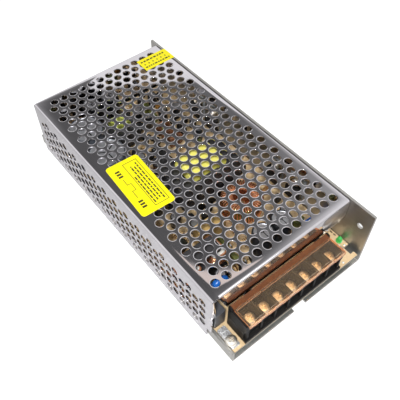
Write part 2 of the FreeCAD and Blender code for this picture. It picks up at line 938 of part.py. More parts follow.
def make_terminal_block():
    body = new_body("terminal_block")
    upper_front = block_front + d.block_ledge_inset
    side_view = [
        (block_front, board_top),
        (block_rear, board_top),
        (block_rear, block_top),
        (upper_front, block_top),
        (upper_front, board_top + d.block_ledge_height),
        (block_front, board_top + d.block_ledge_height),
    ]
    pad(body, "YZ", side_view, block_left, block_width)
    cavity_width = d.pole_pitch - d.block_fin
    first = terminal_places()[0]
    cavity = rectangle(first - cavity_width / 2, block_front - d.block_ledge_inset,
                       first + cavity_width / 2, block_rear - d.block_rear_wall)
    repeat(body, pocket(body, "XY", [cavity], block_floor, d.block_height), (d.pole_pitch, d.pole_count))
    # The ears that carry the lid's pins stand up at both ends.
    ear = rectangle(block_rear - d.ear_depth, block_top - d.block_fin, block_rear, block_top + d.ear_rise)
    pad(body, "YZ", ear, block_left, d.ear_width)
    pad(body, "YZ", ear, block_right - d.ear_width, d.ear_width)
    holes = []
    for x in terminal_places():
        holes.append(cylinder("screw_bore", x, terminal_y, block_floor - d.terminal_screw_reach,
                              d.terminal_screw_shank + d.screw_clearance, d.block_height))
    pin_hole = d.lid_pin + d.screw_clearance * 2
    for x in (block_left - d.ear_width, block_right - d.ear_width * 2):
        holes.append(cylinder("pin_hole", x, lid_axis_y, lid_axis_z, pin_hole, d.ear_width * 3, "X"))
    node("terminal_block", cut("terminal_block", body, holes))


def make_terminal_hardware():
    contacts = []
    washers = []
    screws = []
    plate_width = d.pole_pitch - d.block_fin - d.contact_gap * 2
    plate_front = block_front + d.block_ledge_inset
    plate_length = d.block_depth - d.block_ledge_inset - d.block_rear_wall - d.contact_gap
    washer_z = block_floor + d.contact_sheet
    seat = washer_z + d.clamp_washer_height
    hole = d.terminal_screw_shank + d.screw_clearance
    for x in terminal_places():
        plate = box("contact", x - plate_width / 2, plate_front, block_floor, plate_width, plate_length,
                    d.contact_sheet)
        plate_hole = cylinder("contact", x, terminal_y, block_floor - d.contact_sheet, hole,
                              d.contact_sheet * 3)
        contacts.append(cut("contact", plate, [plate_hole]))
        washer = centred_box("washer", x, terminal_y, washer_z, d.clamp_washer_side, d.clamp_washer_side,
                             d.clamp_washer_height)
        washer_hole = cylinder("washer", x, terminal_y, washer_z - d.clamp_washer_height, hole,
                               d.clamp_washer_height * 3)
        washers.append(cut("washer", washer, [washer_hole]))
        reach = d.terminal_screw_reach + d.contact_sheet
        screw = pan_screw("terminal_screw", x, terminal_y, seat, d.terminal_screw_head,
                          d.terminal_screw_head_height, d.terminal_screw_shank, reach)
        head_top = seat + d.terminal_screw_head_height
        slots = []
        for length, width in ((d.driver_slot_length, d.driver_slot_width),
                              (d.driver_slot_width, d.driver_slot_length)):
            slots.append(centred_box("driver_slot", x, terminal_y, head_top - d.driver_slot_depth, length,
                                     width, d.driver_slot_depth * 2))
        screws.append(cut("terminal_screw", screw, slots))
    node("terminal_contacts", group("terminal_contacts", contacts))
    node("clamp_washers", group("clamp_washers", washers))
    node("terminal_screws", group("terminal_screws", screws))


def make_terminal_lid():
    body = new_body("terminal_lid")
    lid_left = block_left + d.ear_width + d.lid_gap
    lid_right = block_right - d.ear_width - d.lid_gap
    rear_edge = lid_axis_y + d.lid_thickness / 2
    lid_top = lid_bottom + d.lid_thickness
    lip_bottom = lid_bottom - d.lid_lip_drop
    end_round = d.lid_thickness / 2 - d.slip_gap / 2
    side_view = [
        (front, lip_bottom),
        (front + d.lid_lip, lip_bottom),
        (front + d.lid_lip, lid_bottom),
        (rear_edge, lid_bottom, end_round),
        (rear_edge, lid_top, end_round),
        (front, lid_top),
    ]
    pad(body, "YZ", side_view, lid_left, lid_right - lid_left)
    panel = rectangle(lid_left + d.lid_frame, front + d.lid_frame, lid_right - d.lid_frame,
                      rear_edge - d.lid_frame, d.lid_frame / 2)
    pocket(body, "XY", [panel], lid_top - d.lid_panel_recess, d.lid_thickness)
    pins = []
    for x in (lid_left - d.lid_pin_length, lid_right - d.lid_pin_length):
        pins.append(cylinder("lid_pin", x, lid_axis_y, lid_axis_z, d.lid_pin, d.lid_pin_length * 2, "X"))
    node("terminal_lid", fuse("terminal_lid", [body] + pins))


# Small parts that show at the front.

def make_led():
    x = board_right - d.led_inset
    y = cover_front - d.led_front
    rim = cylinder("led_rim", x, y, board_top, d.led_rim, d.led_rim_height)
    barrel = cylinder("led_barrel", x, y, board_top, d.led_diameter, d.led_height - d.led_diameter / 2)
    dome = doc.addObject("Part::Sphere", "led_dome")
    bind(dome, "Radius", d.led_diameter / 2)
    place(dome, x, y, board_top + d.led_height - d.led_diameter / 2)
    node("indicator_led", fuse("indicator_led", [rim, barrel, dome]))


def make_trimmer():
    x = board_right - d.trimmer_inset
    y = cover_front + d.trimmer_y
    top = board_top + d.trimmer_height
    case = centred_box("trimmer", x, y, board_top, d.trimmer_side, d.trimmer_side, d.trimmer_height)
    seat = cylinder("trimmer_seat", x, y, top - d.trimmer_rotor_seat,
                    d.trimmer_rotor + d.rotor_clearance * 2, d.trimmer_height)
    node("trimmer_body", cut("trimmer_body", case, [seat]))
    rotor_bottom = top - d.trimmer_rotor_seat + d.rotor_clearance
    rotor_top = top + d.trimmer_rotor_rise
    rotor = cylinder("trimmer_rotor", x, y, rotor_bottom, d.trimmer_rotor, rotor_top - rotor_bottom)
    slot = centred_box("rotor_slot", x, y, rotor_top - d.rotor_slot_depth, d.rotor_slot_width,
                       d.trimmer_rotor * 2, d.rotor_slot_depth * 2)
    node("trimmer_rotor", cut("trimmer_rotor", rotor, [slot]))


def make_input_block():
    node("input_filter_block", centred_box("input_filter_block", board_left + d.input_block_width / 2,
                                           cover_front + d.input_block_y, board_top, d.input_block_width,
                                           d.input_block_length, d.input_block_height))


# Parts of the input side.

def standing_disc(name, x, y, diameter, thickness, lift, pitch):
    """A disc on edge above the board, on two wire leads."""
    disc = cylinder(name, x, y - thickness / 2, board_top + lift + diameter / 2, diameter, thickness, "Y")
    leads = []
    for side in (-1, 1):
        leads.append(centred_box(name + "_lead", x + pitch / 2 * side, y, board_top, d.lead, d.lead,
                                 lift + diameter / 2))
    return fuse(name, [disc] + leads)


def make_discs():
    node("blue_disc_capacitor", standing_disc(
        "blue_disc_capacitor", board_left + d.disc_capacitor_inset, cover_front + d.disc_capacitor_y,
        d.disc_capacitor_diameter, d.disc_capacitor_thickness, d.disc_capacitor_lift, d.lead_pitch))
    node("inrush_thermistor", standing_disc(
        "inrush_thermistor", board_left + d.thermistor_inset, cover_front + d.thermistor_y,
        d.thermistor_diameter, d.thermistor_thickness, d.thermistor_lift, d.lead_pitch))


def make_line_filter():
    """A rectangular ring core on edge with a winding on each of its upright sides."""
    x = board_left + d.filter_core_inset
    y = cover_front + d.filter_core_y
    body = new_body("line_filter_core")
    bar = d.filter_core_bar
    base = board_top + d.filter_winding_wall
    low_x = x - d.filter_core_width / 2
    high_x = x + d.filter_core_width / 2
    pad(body, "XZ", rectangle(low_x, base, high_x, base + d.filter_core_height), y - bar, bar * 2)
    window = rectangle(low_x + bar, base + bar, high_x - bar, base + d.filter_core_height - bar)
    pocket(body, "XZ", [window], y - bar * 2, bar * 4)
    node("line_filter_core", body)
    windings = []
    wall = d.filter_winding_wall
    clearance = d.winding_clearance
    height = d.filter_core_height - bar * 2 - clearance * 2
    for low in (low_x, high_x - bar):
        outer = box("filter_winding", low - wall, y - bar - wall, base + bar + clearance,
                    bar + wall * 2, (bar + wall) * 2, height)
        inner = box("filter_winding", low - clearance, y - bar - clearance, base, bar + clearance * 2,
                    (bar + clearance) * 2, d.filter_core_height)
        windings.append(cut("filter_winding", outer, [inner]))
    node("line_filter_windings", group("line_filter_windings", windings))
    foot = box("line_filter_foot", low_x - wall, y - bar - wall, board_top, d.filter_core_width + wall * 2,
               (bar + wall) * 2, wall)
    node("line_filter_foot", foot)


def make_box_capacitor():
    node("box_capacitor", centred_box("box_capacitor", board_left + d.box_capacitor_inset,
                                      cover_front + d.box_capacitor_y, board_top, d.box_capacitor_width,
                                      d.box_capacitor_length, d.box_capacitor_height))


def make_fuse():
    x = board_left + d.fuse_inset
    y = cover_front + d.fuse_y
    z = board_top + d.fuse_diameter / 2 + d.fuse_cap_wall
    tube = cylinder("fuse", x, y - d.fuse_length / 2, z, d.fuse_diameter, d.fuse_length, "Y")
    node("fuse", tube)
    clips = []
    for end in (-1, 1):
        clip_y = y + (d.fuse_length / 2 - d.fuse_cap_length / 2) * end
        side = d.fuse_diameter + d.fuse_cap_wall * 2
        holder = centred_box("fuse_clip", x, clip_y, board_top, side, d.fuse_cap_length,
                             d.fuse_diameter * 0.75)
        channel = cylinder("fuse_clip", x, y - d.fuse_length, z, d.fuse_diameter, d.fuse_length * 2, "Y")
        clips.append(cut("fuse_clip", holder, [channel]))
    node("fuse_clips", group("fuse_clips", clips))


def make_bridge():
    x = board_left + d.bridge_inset
    y = cover_front + d.bridge_y
    case = centred_box("bridge", x, y, board_top + d.bridge_lift, d.bridge_width, d.bridge_thickness,
                       d.bridge_height)
    leads = []
    first = x - d.bridge_lead_pitch * ((DIMENSIONS["bridge_lead_count"] - 1) / 2)
    for lead_x in spread(first, d.bridge_lead_pitch, DIMENSIONS["bridge_lead_count"]):
        leads.append(centred_box("bridge_lead", lead_x, y, board_top, d.lead, d.lead, d.bridge_lift))
    node("bridge_rectifier", fuse("bridge_rectifier", [case] + leads))


def can(name, x, y, diameter, height):
    """A capacitor can whose sleeve stands a little above its metal top."""
    shell = cylinder(name, x, y, board_top, diameter, height)
    recess = cylinder(name, x, y, board_top + height - d.bulk_recess, diameter - d.bulk_rim * 2,
                      d.bulk_recess * 2)
    return cut(name, shell, [recess])


def make_bulk_capacitors():
    x = board_left + d.bulk_inset
    for name, y in (("bulk_capacitor_front", d.bulk_first_y),
                    ("bulk_capacitor_rear", d.bulk_first_y + d.bulk_pitch)):
        node(name, can(name, x, cover_front + y, d.bulk_diameter, d.bulk_height))


# Transformers and choke.

def shell_core(name, x, y, z, width, length, height, window_width, window_length, middle_leg):
    """A ferrite core: a rectangular ring with a middle leg along Y, as seen from above."""
    body = new_body(name)
    pad(body, "XY", rectangle(x - width / 2, y - length / 2, x + width / 2, y + length / 2), z, height)
    windows = []
    for low, high in ((x - window_width / 2, x - middle_leg / 2), (x + middle_leg / 2, x + window_width / 2)):
        windows.append(rectangle(low, y - window_length / 2, high, y + window_length / 2))
    pocket(body, "XY", windows, z - height, height * 3)
    return body


def coil(name, x, y, z, width, length, height, core_z, core_width, core_height):
    """The taped winding around the middle leg, open along Y where the leg passes."""
    outer = centred_box(name, x, y, z, width, length, height)
    gap = d.coil_gap
    passage = centred_box(name, x, y, core_z - gap, core_width + gap * 2, length * 2, core_height + gap * 2)
    return cut(name, outer, [passage])


def make_main_transformer():
    x = d.core_offset
    y = cover_front + d.core_y
    core_z = board_top + d.core_lift
    node("transformer_core", shell_core("transformer_core", x, y, core_z, d.core_width, d.core_length,
                                        d.core_height, d.core_window_width, d.core_window_length,
                                        d.core_middle_leg))
    base = board_top + d.bobbin_sheet
    coil_top = core_z + d.core_height + d.coil_rise
    gap = d.coil_gap
    node("transformer_winding", coil("transformer_winding", x, y, base, d.core_window_width - gap * 2,
                                     d.core_window_length - gap * 2, coil_top - base, core_z,
                                     d.core_middle_leg, d.core_height))
    plate_length = d.core_window_length + d.bobbin_overhang * 2
    plate = centred_box("transformer_bobbin", x, y, board_top, d.core_window_width, plate_length,
                        d.bobbin_sheet)
    rail_height = d.core_lift - d.coil_gap
    rails = []
    for side in (-1, 1):
        rail_y = y + (plate_length / 2 - d.bobbin_overhang / 4) * side
        rails.append(centred_box("bobbin_rail", x, rail_y, board_top, d.core_window_width,
                                 d.bobbin_overhang / 2, rail_height))
    pins = []
    first = x - d.bobbin_pin_pitch * ((DIMENSIONS["bobbin_pin_count"] - 1) / 2)
    for pin_x in spread(first, d.bobbin_pin_pitch, DIMENSIONS["bobbin_pin_count"]):
        for side in (-1, 1):
            pin_y = y + (plate_length / 2 + d.lead / 2) * side
            pins.append(centred_box("bobbin_pin", pin_x, pin_y, board_top, d.lead, d.lead, d.bobbin_sheet * 2))
    node("transformer_bobbin", fuse("transformer_bobbin", [plate] + rails + pins))


def make_driver_transformer():
    x = d.driver_offset
    y = cover_front + d.driver_y
    core_z = board_top + d.driver_lift
    window_width = d.driver_width - d.driver_bar * 2
    window_length = d.driver_length - d.driver_bar * 2
    node("driver_core", shell_core("driver_core", x, y, core_z, d.driver_width, d.driver_length,
                                   d.driver_height, window_width, window_length, d.driver_middle_leg))
    coil_top = core_z + d.driver_height + d.driver_coil_rise
    gap = d.coil_gap
    node("driver_winding", coil("driver_winding", x, y, board_top, window_width - gap * 2,
                                window_length - gap * 2, coil_top - board_top, core_z, d.driver_middle_leg,
                                d.driver_height))


def ring(name, x, y, z, outer, hole, height, chamfer):
    """A ring with flats all round, one for each turn of wire, and bevelled edges."""
    section = [
        (hole / 2, z + chamfer),
        (hole / 2 + chamfer, z),
        (outer / 2 - chamfer, z),
        (outer / 2, z + chamfer),
        (outer / 2, z + height - chamfer),
        (outer / 2 - chamfer, z + height),
        (hole / 2 + chamfer, z + height),
        (hole / 2, z + height - chamfer),
    ]
    solid = doc.addObject("Part::Feature", name + "_ring")
    sides = DIMENSIONS["choke_sides"]
    profiles = []
    for index in range(sides):
        turn = math.radians(360.0 / sides * index)
        profiles.append([FreeCAD.Vector(radius.value * math.cos(turn), radius.value * math.sin(turn), level.value)
                         for radius, level in section])
    faces = []
    for near, far in zip(profiles, profiles[1:] + profiles[:1]):
        for index in range(len(section)):
            corners = [near[index - 1], near[index], far[index], far[index - 1]]
            faces.append(Part.Face(Part.makePolygon(corners + corners[:1])))
    shell = Part.makeShell(faces)
    shell.sewShape()
    solid.Shape = Part.makeSolid(shell)
    solid.Placement = FreeCAD.Placement(FreeCAD.Vector(x.value, y.value, 0), FreeCAD.Rotation())
    return solid


def make_output_choke():
    x = d.choke_offset
    y = cover_front + d.choke_y
    node("choke_winding", ring("choke_winding", x, y, board_top, d.choke_outer, d.choke_hole, d.choke_height,
                               d.choke_chamfer))


# Capacitors and small parts of the output side.

def make_output_capacitors():
    y = cover_front + d.output_capacitor_y
    cans = []
    for x in spread(d.output_capacitor_offset, d.output_capacitor_pitch, DIMENSIONS["output_capacitor_count"]):
        cans.append(can("output_capacitor", x, y, d.output_capacitor_diameter, d.output_capacitor_height))
    node("output_capacitors", group("output_capacitors", cans))
    y = cover_front + d.rear_capacitor_y
    cans = []
    for x in spread(d.rear_capacitor_offset, d.rear_capacitor_pitch, DIMENSIONS["rear_capacitor_count"]):
        cans.append(can("rear_capacitor", x, y, d.output_capacitor_diameter, d.rear_capacitor_height))
    node("rear_capacitors", group("rear_capacitors", cans))


def make_chip():
    x = d.chip_offset
    y = cover_front + d.chip_y
    case = centred_box("control_chip", x, y, board_top + d.chip_lift, d.chip_width, d.chip_length,
                       d.chip_height)
    pins = []
    first = y - d.chip_pin_pitch * ((DIMENSIONS["chip_pin_count"] - 1) / 2)
    for pin_y in spread(first, d.chip_pin_pitch, DIMENSIONS["chip_pin_count"]):
        for side in (-1, 1):
            pin_x = x + (d.chip_width / 2 + d.chip_pin / 2) * side
            pins.append(centred_box("chip_pin", pin_x, pin_y, board_top, d.chip_pin, d.chip_pin,
                                    d.chip_lift + d.chip_height / 2))
    node("control_chip", fuse("control_chip", [case] + pins))


def make_resistors():
    resistors = []
    first = cover_front + d.resistor_y
    for y in spread(first, d.resistor_pitch, DIMENSIONS["resistor_count"]):
        resistors.append(cylinder("resistor", d.resistor_offset - d.resistor_length / 2, y,
                                  board_top + d.resistor_diameter / 2, d.resistor_diameter,
                                  d.resistor_length, "X"))
    node("power_resistors", group("power_resistors", resistors))


def make_small_films():
    films = []
    first = cover_front + d.small_film_y
    for y in spread(first, d.small_film_pitch, DIMENSIONS["small_film_count"]):
        films.append(centred_box("small_film", d.small_film_offset, y, board_top, d.small_film_width,
                                 d.small_film_length, d.small_film_height))
    node("film_capacitors", group("film_capacitors", films))


# Power devices on the right wall.

def power_device(name, y):
    """A three-lead device with its back to the wall and a screw through its tab."""
    case = box(name, device_back - d.device_thickness, y - d.device_width / 2, device_bottom,
               d.device_thickness, d.device_width, d.device_height)
    tab_bottom = device_bottom + d.device_height
    tab = box(name + "_tab", device_back - d.device_tab_thickness, y - d.device_width / 2, tab_bottom,
              d.device_tab_thickness, d.device_width, d.device_tab_height)
    leads = []
    for step in (-1, 0, 1):
        lead_y = y + d.device_lead_pitch * step
        leads.append(centred_box(name + "_lead", device_back - d.device_thickness / 2, lead_y, board_top,
                                 d.device_lead, d.device_lead, d.device_lift))
    hole = cylinder(name + "_hole", device_back - d.device_thickness, y, device_screw_z,
                    d.case_screw_shank + d.screw_clearance, d.device_thickness * 2, "X")
    return cut(name, fuse(name, [case, tab] + leads), [hole])


def make_power_devices():
    groups = (("output_rectifiers", d.rectifier_y, d.rectifier_pitch),
              ("switching_transistors", d.transistor_y, d.transistor_pitch))
    for name, first, pitch in groups:
        devices = [power_device(name, y) for y in device_rows(first, pitch)]
        node(name, group(name, devices))
    pads = []
    screws = []
    margin = d.device_pad_margin
    seat = device_back - d.device_tab_thickness
    for y in all_device_rows():
        plate = box("device_pad", device_back, y - d.device_width / 2 - margin, device_bottom - margin,
                    d.device_pad_thickness, d.device_width + margin * 2,
                    d.device_height + d.device_tab_height + margin * 2)
        hole = cylinder("pad_hole", device_back - d.device_pad_thickness, y, device_screw_z,
                        d.case_screw_shank + d.screw_clearance, d.device_pad_thickness * 3, "X")
        pads.append(cut("device_pad", plate, [hole]))
        head = cylinder("device_screw", seat - d.device_screw_head_height, y, device_screw_z,
                        d.device_screw_head, d.device_screw_head_height, "X")
        shank = cylinder("device_screw", seat - d.device_screw_head_height / 2, y, device_screw_z,
                         d.case_screw_shank, right - seat + d.device_screw_head_height / 2, "X")
        screws.append(fuse("device_screw", [head, shank]))
    node("insulating_pads", group("insulating_pads", pads))
    node("device_screws", group("device_screws", screws))


# Labels.

def make_labels():
    body = new_body("large_label")
    half_width = d.large_label_width / 2
    half_length = d.large_label_length / 2
    pad(body, "XY", rectangle(-half_width, -half_length, half_width, half_length, d.large_label_corner),
        0, d.label_sheet)
    turn = FreeCAD.Rotation(FreeCAD.Vector(0, 0, 1), DIMENSIONS["large_label_turn"])
    body.Placement = FreeCAD.Placement(FreeCAD.Vector(), turn)
    place(body, left + d.large_label_inset, cover_front + d.large_label_y, d.case_height)
    node("large_label", body)
    small = box("small_label", right - d.small_label_width,
                cover_front + d.small_label_y - d.small_label_length / 2, d.case_height,
                d.small_label_width, d.small_label_length, d.label_sheet)
    node("small_label", small)


def check_document():
    doc.recompute()
    for feature in doc.Objects:
        for word in ("Invalid", "Error"):
            if word in feature.State:
                raise RuntimeError("%s is %s" % (feature.Name, word))
    for feature in nodes:
        if feature.Shape.isNull() or not feature.Shape.isValid():
            raise RuntimeError("%s has no sound shape" % feature.Label)


def write_parts():
    os.makedirs("parts", exist_ok=True)
    for feature in nodes:
        feature.Shape.exportStep("parts/%s.step" % feature.Label)
        print(feature.Label, len(feature.Shape.Solids), round(feature.Shape.Volume, 2))


make_chassis()
make_cover()
make_case_screws()
make_insulating_sheet()
make_standoffs()
make_board()
make_board_screws()
make_earth_bracket()
make_terminal_block()
make_terminal_hardware()
make_terminal_lid()
make_led()
make_trimmer()
make_input_block()
make_discs()
make_line_filter()
make_box_capacitor()
make_fuse()
make_bridge()
make_bulk_capacitors()
make_main_transformer()
make_driver_transformer()
make_output_choke()
make_output_capacitors()
make_chip()
make_resistors()
make_small_films()
make_power_devices()
make_labels()
check_document()
write_parts()
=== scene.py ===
import math
import random

import bmesh
import bpy
from mathutils import Matrix, Vector, geometry


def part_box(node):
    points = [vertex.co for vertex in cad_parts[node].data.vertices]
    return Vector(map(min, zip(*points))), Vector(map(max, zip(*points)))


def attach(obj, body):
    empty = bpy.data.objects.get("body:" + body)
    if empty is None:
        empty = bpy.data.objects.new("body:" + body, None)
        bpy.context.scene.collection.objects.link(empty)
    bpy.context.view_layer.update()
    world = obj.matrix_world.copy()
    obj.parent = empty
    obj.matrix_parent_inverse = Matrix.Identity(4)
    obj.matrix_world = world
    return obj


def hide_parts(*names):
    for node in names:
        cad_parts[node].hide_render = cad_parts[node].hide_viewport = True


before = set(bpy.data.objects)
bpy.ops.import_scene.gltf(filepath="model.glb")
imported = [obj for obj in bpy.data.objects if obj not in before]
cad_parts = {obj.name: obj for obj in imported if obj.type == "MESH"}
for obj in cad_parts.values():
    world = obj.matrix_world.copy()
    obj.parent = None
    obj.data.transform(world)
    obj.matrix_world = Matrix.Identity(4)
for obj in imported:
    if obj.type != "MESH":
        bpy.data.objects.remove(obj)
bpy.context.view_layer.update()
mm = 0.001
random.seed(7)
print("frame loaded:", len(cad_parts), "nodes")


# places of the nodes in millimetres, read from the frame

def nodeBox(name):
    low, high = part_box(name)
    return low / mm, high / mm


def nodeMiddle(name):
    low, high = nodeBox(name)
    return (low + high) / 2


coverLow, coverHigh = nodeBox("cover")
boardLow, boardHigh = nodeBox("circuit_board")
blockLow, blockHigh = nodeBox("terminal_block")
boardTop = boardHigh.z


# helpers for colours and nodes

def hexToLinear(code):
    values = [int(code[i:i + 2], 16) / 255 for i in (1, 3, 5)]
    linear = [v / 12.92 if v <= 0.04045 else ((v + 0.055) / 1.055) ** 2.4 for v in values]
    return (*linear, 1.0)


def addNode(tree, kind, settings=None, inputs=None, links=None):
    # a link comes from a socket, or from the first output of a node
    node = tree.nodes.new(kind)
    for key, value in (settings or {}).items():
        setattr(node, key, value)
    for key, value in (inputs or {}).items():
        node.inputs[key].default_value = value
    for key, source in (links or {}).items():
        socket = source.outputs[0] if isinstance(source, bpy.types.Node) else source
        tree.links.new(socket, node.inputs[key])
    return node


def setRamp(ramp, stops):
    elements = ramp.color_ramp.elements
    while len(elements) > 1:
        elements.remove(elements[-1])
    elements[0].position, elements[0].color = stops[0]
    for position, colour in stops[1:]:
        elements.new(position).color = colour


def makeFinish(name, colours, grain, roughness, metallic=0.0, bump=0.0, cloud=18, cloudShare=0.4, shader=None,
               lampTint=None):
    # the surface wanders between two colours; grain, bump and cloud are sizes in mm, grain may differ by axis
    material = bpy.data.materials.new(name)
    material.use_nodes = True
    tree = material.node_tree
    tree.nodes.clear()
    place = addNode(tree, "ShaderNodeTexCoord").outputs["Object"]
    sizes = grain if isinstance(grain, tuple) else (grain,) * 3
    fine = addNode(tree, "ShaderNodeMapping", inputs={"Scale": [1 / (g * mm) for g in sizes]},
                   links={"Vector": place})
    fineNoise = addNode(tree, "ShaderNodeTexNoise", inputs={"Scale": 1.0, "Detail": 4.0, "Roughness": 0.6},
                        links={"Vector": fine})
    cloudNoise = addNode(tree, "ShaderNodeTexNoise", inputs={"Scale": 1 / (cloud * mm), "Detail": 3.0},
                         links={"Vector": place})
    blend = addNode(tree, "ShaderNodeMix", {"data_type": "FLOAT"}, {0: cloudShare}, {2: fineNoise, 3: cloudNoise})
    ramp = addNode(tree, "ShaderNodeValToRGB", links={"Fac": blend})
    setRamp(ramp, [(0.32, hexToLinear(colours[0])), (0.68, hexToLinear(colours[1]))])
    rough = addNode(tree, "ShaderNodeMapRange", inputs={"From Min": 0.3, "From Max": 0.7,
                    "To Min": roughness[0], "To Max": roughness[1]}, links={"Value": blend})
    body = addNode(tree, "ShaderNodeBsdfPrincipled", inputs={"Metallic": metallic, **(shader or {})},
                   links={"Base Color": ramp, "Roughness": rough})
    if bump:
        relief = addNode(tree, "ShaderNodeBump", inputs={"Strength": 1.0, "Distance": bump * mm},
                         links={"Height": fineNoise})
        tree.links.new(relief.outputs["Normal"], body.inputs["Normal"])
    surface = body
    if lampTint:  # clear plastic that lets the lamps reach what is behind it
        ray = addNode(tree, "ShaderNodeLightPath").outputs["Is Shadow Ray"]
        clear = addNode(tree, "ShaderNodeBsdfTransparent", inputs={"Color": hexToLinear(lampTint)})
        surface = addNode(tree, "ShaderNodeMixShader", links={0: ray, 1: body, 2: clear})
    addNode(tree, "ShaderNodeOutputMaterial", links={"Surface": surface})
    return material


# finishes, each named for the real stuff and how its surface was made. A row holds the material's name, its two
# colours, grain, roughness range, metallic, bump, cloud size, share of the clouds, shader values and lamp tint

